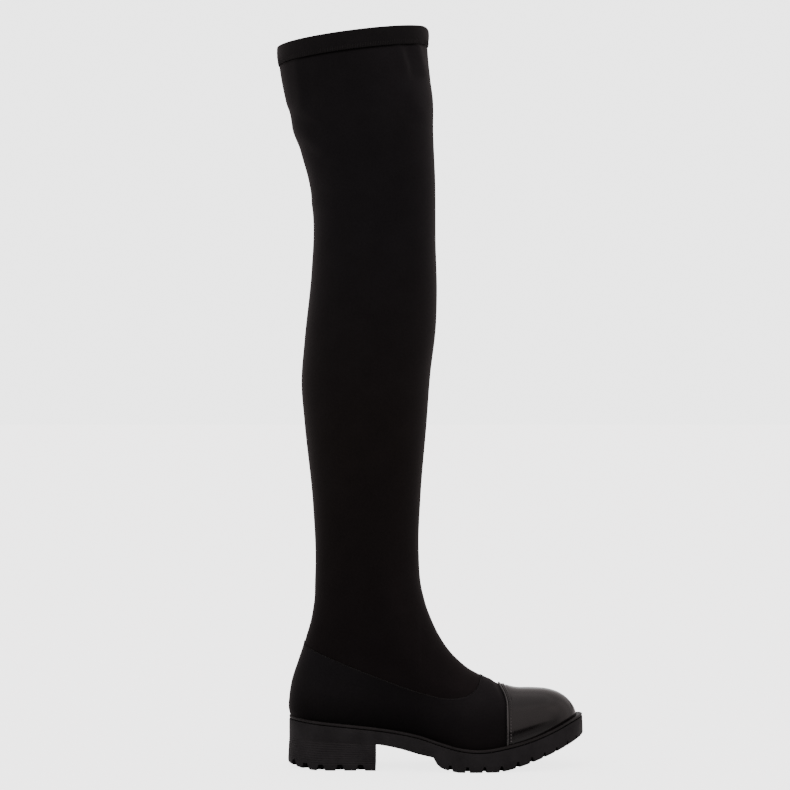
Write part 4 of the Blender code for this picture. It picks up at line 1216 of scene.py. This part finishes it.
def arch_points(turn, behind, lift):
    """Points over the foot along the back edge of the cap, lifted off it, and their normals."""
    def surface(at, shift):
        rise = np.abs(np.sin(at))
        x = np.full_like(at, CAP_SIDE_X)
        for _ in range(CAP_EDGE_ROUNDS):
            z = feather_z(x) + (ridge_z(x) - feather_z(x)) * rise ** (2 / read(FOOT_SECTIONS, "x", "dome", x))
            x = cap_edge_x(z) - behind + shift
        half = read(FOOT_SECTIONS, "x", "half_width", x) * round_end(TOE_X - x, TOE_ROUND, TOE_POWER)
        across = np.sign(np.cos(at)) * np.abs(np.cos(at)) ** (2 / read(FOOT_SECTIONS, "x", "side", x))
        return np.column_stack([x, form_centre(x, z) - half * across, z])

    over = surface(turn + ARCH_STEP, 0.0) - surface(turn - ARCH_STEP, 0.0)
    ahead = surface(turn, EDGE_STEP) - surface(turn, -EDGE_STEP)
    normal = unit(np.cross(ahead, over))
    return surface(turn, 0.0) + normal * lift, normal


def make_piping(patent):
    """Raised piping along the back edge of the cap, lower and narrower over the top of the foot."""
    turn = np.linspace(PIPING_END_TURN, math.pi - PIPING_END_TURN, PIPING_STATIONS)
    from_top = turn - math.pi / 2
    lift = PIPING_LIFT - PIPING_TOP_SINK * bell(from_top, PIPING_SINK_TURN)
    points, normal = arch_points(turn, PIPING_BEHIND, lift[:, None])
    across = np.cross(normal, unit(np.gradient(points, axis=0)))
    angle = np.linspace(0.0, 2 * math.pi, PIPING_SIDES, endpoint=False)
    half_width = PIPING_HALF_WIDTH - PIPING_TOP_TAPER * bell(from_top, PIPING_TAPER_TURN)
    width = np.outer(half_width, np.cos(angle))[..., None]
    height = PIPING_HALF_HEIGHT * np.sin(angle)[:, None]
    grid = points[:, None] + across[:, None] * width + normal[:, None] * height
    faces = [face[::-1] for face in tube_faces(PIPING_STATIONS, PIPING_SIDES)]
    return new_piece("piping", grid, faces, [patent], sharp=SHARP_SHELL)


def make_cap_stitches(thread):
    turn = np.linspace(PIPING_END_TURN, math.pi - PIPING_END_TURN, CAP_STITCH_SAMPLES)
    points, normal = arch_points(turn, -CAP_STITCH_AHEAD, -CAP_MARGIN_SINK)
    run = lengths_along(points)
    at = np.arange(CAP_STITCH_PITCH, run[-1] - CAP_STITCH_PITCH, CAP_STITCH_PITCH)
    starts = at_lengths(points, run, at)
    ends = at_lengths(points, run, at + CAP_STITCH_LENGTH)
    return make_stitches("cap_stitches", starts, ends, at_lengths(normal, run, at), CAP_STITCH_RADIUS, thread)


# Sole

def sole_half(x):
    half = read(SOLE_PLAN, "x", "half_width", x) * round_end(x - SOLE_BACK, SOLE_HEEL_ROUND)
    return half * round_end(SOLE_LENGTH - x, SOLE_TOE_ROUND, TOE_POWER)


def sole_centre(x):
    return read(SOLE_PLAN, "x", "centre", x)


def stations_between(low, high, count):
    """Places along the foot, closer towards both ends."""
    return low + (high - low) * swing(turns(count))


def inset_ring(ring, inset):
    """Ring moved inwards in plan, square to its outline."""
    along = np.roll(ring, -1, axis=0) - np.roll(ring, 1, axis=0)
    return ring + unit(np.column_stack([-along[:, 1], along[:, 0], np.zeros(len(ring))])) * inset


def sole_ring(height, inset, tread_inset=0.0):
    """Ring of the sole's edge at a height, moved in by an inset, and by another on the tread alone."""
    x = stations_between(SOLE_BACK, SOLE_LENGTH, SOLE_STATIONS)
    ring = both_sides(x, np.zeros_like(x), sole_half(x), sole_centre(x))
    ring = inset_ring(ring, inset + tread_inset * ease(ring[:, :1], *TREAD_START_X))
    ring[:, 2] = height(ring[:, 0])
    return ring


def wedge(edge, into, along, floor, mouth, roof, height, reach):
    """Corners of one notch: a bar from outside the edge to its reach inside, narrower at its roof."""
    wide = mouth + (mouth - roof) * CUT_BELOW / height
    corners = []
    for level, width in ((floor - CUT_BELOW, wide), (floor + height, roof)):
        for depth in (-CUT_BEYOND, reach):
            for side in (-0.5, 0.5):
                place = edge + into * depth + along * (side * width)
                corners.append((place[0], place[1], level))
    return corners


def as_cutter(name, points, faces):
    piece = new_piece(name, points, faces, [])
    bm = bmesh.new()
    bm.from_mesh(piece.data)
    bmesh.ops.recalc_face_normals(bm, faces=bm.faces)
    bm.to_mesh(piece.data)
    bm.free()
    return piece


def wedge_cutter(name, wedges):
    return as_cutter(name, wedges, repeat_faces(WEDGE_FACES, len(wedges), WEDGE_CORNERS))


def lug_places():
    """Notch places along the outer edge, round the toe and back along the inner edge, closer at the toe."""
    x = np.linspace(LUG_START_X, SOLE_LENGTH, EDGE_SAMPLES)
    edge = both_sides(x, np.zeros_like(x), sole_half(x), sole_centre(x), is_open=True)
    run = lengths_along(edge)
    pitch = LUG_PITCH + (LUG_TOE_PITCH - LUG_PITCH) * ease(edge[:, 0], *LUG_CLOSING_X)
    steps = np.concatenate([[0.0], np.cumsum(np.diff(run) / (pitch[1:] + pitch[:-1]) * 2)])
    for at in np.interp(np.linspace(0.0, steps[-1], int(round(steps[-1])) + 1), steps, run):
        before, place, after = at_lengths(edge, run, np.array([at - EDGE_STEP, at, at + EDGE_STEP]))
        along = unit(after - before)
        yield place, np.array([-along[1], along[0], 0.0]), along


def lug_notch(x):
    """Sizes of a lug notch, smaller towards the toe."""
    share = 1 + (LUG_TOE_SHARE - 1) * float(ease(x, *LUG_SHRINKING_X))
    return {name: size * share for name, size in LUG_NOTCH.items()}


def make_lug_cutter():
    notches = []
    for edge, into, along in lug_places():
        floor = float(sole_bottom(edge[0]))
        notches.append(wedge(edge, into, along, floor, reach=LUG_REACH, **lug_notch(edge[0])))
    return wedge_cutter("lug_cutter", notches)


def make_channel_cutter():
    """Channel between the edge lugs and the middle of the tread, all round the forefoot."""
    x = stations_between(CHANNEL_START_X, CHANNEL_END_X, CHANNEL_STATIONS)
    half = (sole_half(x) - CHANNEL_INSET) * round_end(x - CHANNEL_START_X, CHANNEL_BACK_ROUND)
    half = half * round_end(CHANNEL_END_X - x, CHANNEL_FRONT_ROUND)
    low = both_sides(x, sole_bottom(x) - CUT_BEYOND, half, sole_centre(x))
    high = both_sides(x, sole_bottom(x) + CHANNEL_DEPTH, half, sole_centre(x))
    rings = [low, inset_ring(low, CHANNEL_WIDTH), inset_ring(high, CHANNEL_WIDTH), high]
    return as_cutter("channel_cutter", rings, grid_faces(len(rings), len(low), is_hoop=True))


def make_bar_cutter():
    """Grooves across the middle of the tread."""
    across = np.array([0.0, 1.0, 0.0])
    along = np.array([1.0, 0.0, 0.0])
    grooves = []
    for x in BAR_GROOVE_X:
        half = float(sole_half(x)) - CHANNEL_INSET - CHANNEL_WIDTH / 2
        start = np.array([x, float(sole_centre(x)) - half + CUT_BEYOND, 0.0])
        floor = float(sole_bottom(x))
        grooves.append(wedge(start, across, along, floor, reach=2 * half - CUT_BEYOND, **BAR_GROOVE))
    return wedge_cutter("bar_cutter", grooves)


def sole_wall_ring(row):
    def height(x):
        return sole_bottom(x) + (sole_top(x) - sole_bottom(x)) * row.part + row.rise

    return sole_ring(height, row.inset, row.tread_inset)


def make_outsole(rubber):
    outsole = make_block("sole", [sole_wall_ring(row) for row in SOLE_WALL], rubber)
    return cut_with(outsole, [make_channel_cutter(), make_bar_cutter(), make_lug_cutter()])


def heel_ring(inset, height):
    """Ring of the heel block, from the breast round the back to the breast."""
    back = SOLE_BACK + SOLE_HEEL_ROUND * (1 - np.cos(np.linspace(0.0, math.pi / 2, HEEL_STATIONS)))
    side = np.linspace(back[-1], BREAST_X, HEEL_SIDE_STATIONS)
    x = np.concatenate([back, side[1:]])[::-1]
    ring = both_sides(x, height(x), sole_half(x), sole_centre(x), is_open=True)
    moved = inset_ring(ring[::-1], inset)[::-1]
    moved[[0, -1], 0] = ring[[0, -1], 0]
    moved[0, 1] = ring[0, 1] + inset
    moved[-1, 1] = ring[-1, 1] - inset
    return moved


def rib_ring(part, inset):
    """Ring of the heel block's ribbed wall, level at part 0 and along the sole above at part 1."""
    def height(x):
        low = heel_bottom(x) + RIB_LOW_Z
        return low + (sole_bottom(x) - RIB_TOP_DROP - low) * part

    return heel_ring(inset - HEEL_FLARE * (1 - part), height)


def heel_notch_cutter():
    notches = []
    for side in (-1.0, 1.0):
        for x in HEEL_NOTCH_X:
            low = max(x - EDGE_STEP, SOLE_BACK)
            high = x + EDGE_STEP
            rise = side * (sole_half(high) - sole_half(low)) + sole_centre(high) - sole_centre(low)
            along = unit(np.array([high - low, float(rise), 0.0]))
            into = np.array([side * along[1], -side * along[0], 0.0])
            edge = np.array([x, float(sole_centre(x) + side * sole_half(x)), 0.0])
            notches.append(wedge(edge, into, along, float(heel_bottom(x)), **HEEL_NOTCH))
    return wedge_cutter("heel_cutter", notches)


def make_heel(rubber):
    rings = [heel_ring(row.inset, lambda x: heel_bottom(x) + row.rise) for row in HEEL_EDGE]
    for rib in range(RIB_COUNT):
        rings += [rib_ring((rib + row.step) / RIB_COUNT, row.depth * RIB_DEPTH) for row in RIB_SHAPE]
    rings.append(rib_ring(1.0, 0.0))
    rings.append(heel_ring(0.0, lambda x: sole_bottom(x) - HEEL_SEAT))
    return cut_with(make_block("heel_block", rings, rubber), [heel_notch_cutter()])


def form_outline(lift, offset, turn):
    """Outline of the boot's form at a lift above the feather line, moved outwards in plan."""
    tip_z = float(feather_z(FRONT_LINE[0].x)) + lift
    front = (float(front_x(tip_z)), tip_z)
    ring = ring_between(FEATHER_BACK_Z + lift, front, lambda x, t: feather_z(x) + lift, turn)
    return inset_ring(ring, -offset)


def welt_ring(row):
    def height(x):
        return sole_top(x) + row.rise - row.toe_drop * ease(x, *WELT_TOE_X)

    return sole_ring(height, row.inset)


def make_welt(rubber):
    turn = turns(SOLE_STATIONS)
    inner_low = form_outline(0.0, WELT_CLEARANCE, turn)
    inner_high = form_outline(WELT_INNER_RISE, WELT_CLEARANCE, turn)
    return make_hoop("welt_lip", [inner_low, *(welt_ring(row) for row in WELT_BEAD), inner_high], rubber)


def make_insole(sock):
    x = stations_between(float(back_x(FEATHER_BACK_Z)), FRONT_LINE[0].x, SOLE_STATIONS)
    outline = both_sides(x, feather_z(x), form_half(x, feather_z(x)), form_centre(x, feather_z(x)))
    rings = []
    for row in INSOLE_EDGE:
        ring = inset_ring(outline, INSOLE_INSET + row.inset)
        ring[:, 2] = sole_top(ring[:, 0]) + GAP + row.lift
        rings.append(ring)
    return make_block("sock", rings, sock)


# Stage

def camera_rays(tree):
    """1 for what the camera sees itself, and 0 for what lights the boot or is mirrored in it."""
    return add_node(tree, "ShaderNodeLightPath", {}).outputs["Is Camera Ray"]


def make_floor():
    size = FLOOR_SIZE
    mesh = bpy.data.meshes.new("floor")
    corners = [(-size, -size, 0), (size, -size, 0), (size, size, 0), (-size, size, 0)]
    mesh.from_pydata(corners, [], [(0, 1, 2, 3)])
    white = new_material("floor_white", FLOOR_TONE, FLOOR)
    tree = white.node_tree
    set_shader(white, {"Emission Strength": combine(tree, "MULTIPLY", camera_rays(tree), BACKDROP_GLOW)})
    mesh.materials.append(white)
    floor = add_object("floor", mesh)
    floor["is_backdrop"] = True


def make_world():
    """Soft studio light, brightest overhead, with a dark card in front; the backdrop itself looks white."""
    world = bpy.data.worlds.new("studio")
    bpy.context.scene.world = world
    world.use_nodes = True
    tree = world.node_tree
    way = split_xyz(tree, add_node(tree, "ShaderNodeTexCoord", {}).outputs["Generated"])
    dark = add_ramp(tree, way["Z"], tinted(DARK_CARD))
    card = mix(tree, add_range(tree, way["X"], DARK_CARD_X), dark, WHITE)
    dimmed = mix(tree, 1.0, add_ramp(tree, way["Z"], tinted(STUDIO_LIGHT, STUDIO_TINT)), card, "MULTIPLY")
    light = tree.nodes["Background"]
    fill(tree, light, {"Color": mix(tree, add_range(tree, way["Y"], BACK_LIGHT_Y), dimmed, BACK_LIGHT)})
    backdrop = add_node(tree, "ShaderNodeBackground", {"Strength": BACKDROP_GLOW + FLOOR_LIGHT})
    shaders = {"Fac": camera_rays(tree), 1: light.outputs["Background"], 2: backdrop.outputs["Background"]}
    either = add_node(tree, "ShaderNodeMixShader", shaders)
    fill(tree, tree.nodes["World Output"], {"Surface": either.outputs["Shader"]})


def feather_card(data):
    """Fades a card's light towards its ends and its top."""
    data.use_nodes = True
    tree = data.node_tree
    way = split_xyz(tree, add_node(tree, "ShaderNodeNewGeometry", {}).outputs["Parametric"])
    across = add_ramp(tree, way["X"], tinted(CARD_ACROSS))
    up = add_ramp(tree, way["Y"], tinted(CARD_UP))
    fill(tree, tree.nodes["Emission"], {"Strength": combine(tree, "MULTIPLY", across, up)})


def add_lamp(lamp):
    data = bpy.data.lights.new(lamp.name, "AREA")
    data.shape = "RECTANGLE"
    data.size, data.size_y = lamp.size
    data.energy = lamp.power
    data.color = lamp.colour
    if lamp.is_mirrored:
        feather_card(data)
    light = add_object(lamp.name, data)
    light.location = lamp.place
    light.rotation_euler = (Vector(lamp.target) - Vector(lamp.place)).to_track_quat("-Z", "Y").to_euler()
    light.visible_camera = False
    light.visible_glossy = lamp.is_mirrored
    light.visible_diffuse = not lamp.is_mirrored


def make_camera():
    middle = PHOTO_PIXELS / 2
    data = bpy.data.cameras.new("camera")
    data.sensor_width = SENSOR
    data.lens = SENSOR * CAMERA_DISTANCE / (PHOTO_PIXELS * PIXEL_MM)
    camera = add_object("camera", data)
    x = (middle - PHOTO_BACK_X) * PIXEL_MM - FRAME_X
    z = (PHOTO_FLOOR_Y - middle) * PIXEL_MM
    camera.location = (x * MM, -CAMERA_DISTANCE * MM, z * MM)
    camera.rotation_euler = (math.radians(90.0), 0.0, 0.0)
    bpy.context.scene.camera = camera


def dress(piece, slot, *nodes):
    """Piece that rides on the boot and stands for the given solids, which it hides; its slot is not used."""
    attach(piece, "root")
    if nodes:
        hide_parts(*nodes)


def main():
    leg_cloth = make_cloth("leg_suede", LEG_TONES, has_painted_shading=True)
    foot_cloth = make_cloth("foot_suede", FOOT_TONES, has_painted_shading=True)
    band_cloth = make_cloth("band_suede", BAND_TONES)
    lining = make_lining()
    patent = make_patent("cap_patent", **CAP_GLOSS)
    piping_patent = make_patent("edge_patent", **PIPING_GLOSS)
    sole_rubber = make_rubber("sole_satin", **SOLE_RUBBER)
    # The heel's rubber is lighter than the sole's: painted light
    heel_rubber = make_rubber("heel_satin", **HEEL_RUBBER_PAINTED_LIGHTER)
    welt_rubber = make_rubber("welt_satin", **WELT_RUBBER)
    dark_thread = make_thread("dark_thread", BAND_THREAD_TONES)
    # Seam thread with a painted highlight low toward the front
    seam_thread = make_thread("seam_thread", SEAM_THREAD_TONES_WITH_HIGHLIGHT)
    # Cap thread with painted glints, lightest low on the cap
    glinting_cap_thread = make_thread("cap_thread", CAP_THREAD_TONES_WITH_GLINTS)
    sock_cloth = make_cloth("sock_cloth", SOCK_TONES)
    dress(make_leg(leg_cloth, lining), "leg_cloth", "shaft")
    dress(make_foot(foot_cloth, lining), "foot_cloth", "upper")
    dress(make_seam_stitches(seam_thread), "foot_cloth")
    dress(make_band(band_cloth), "band_cloth", "collar_band")
    dress(make_band_stitches(dark_thread), "band_cloth")
    dress(make_toe_cap(patent), "patent", "toe_cap")
    dress(make_piping(piping_patent), "piping_patent", "cap_piping")
    dress(make_cap_stitches(glinting_cap_thread), "patent")
    dress(make_outsole(sole_rubber), "sole_rubber", "outsole")
    dress(make_heel(heel_rubber), "heel_rubber", "heel")
    dress(make_welt(welt_rubber), "welt_rubber", "welt")
    dress(make_insole(sock_cloth), "insole_sock", "insole")
    make_floor()
    make_world()
    for lamp in LAMPS:
        add_lamp(lamp)
    make_camera()


main()
visual_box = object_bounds()
boxes = {"cad": cad_box, "visual": visual_box}
{name: [list(map(float, corner)) for corner in box] for name, box in boxes.items()}
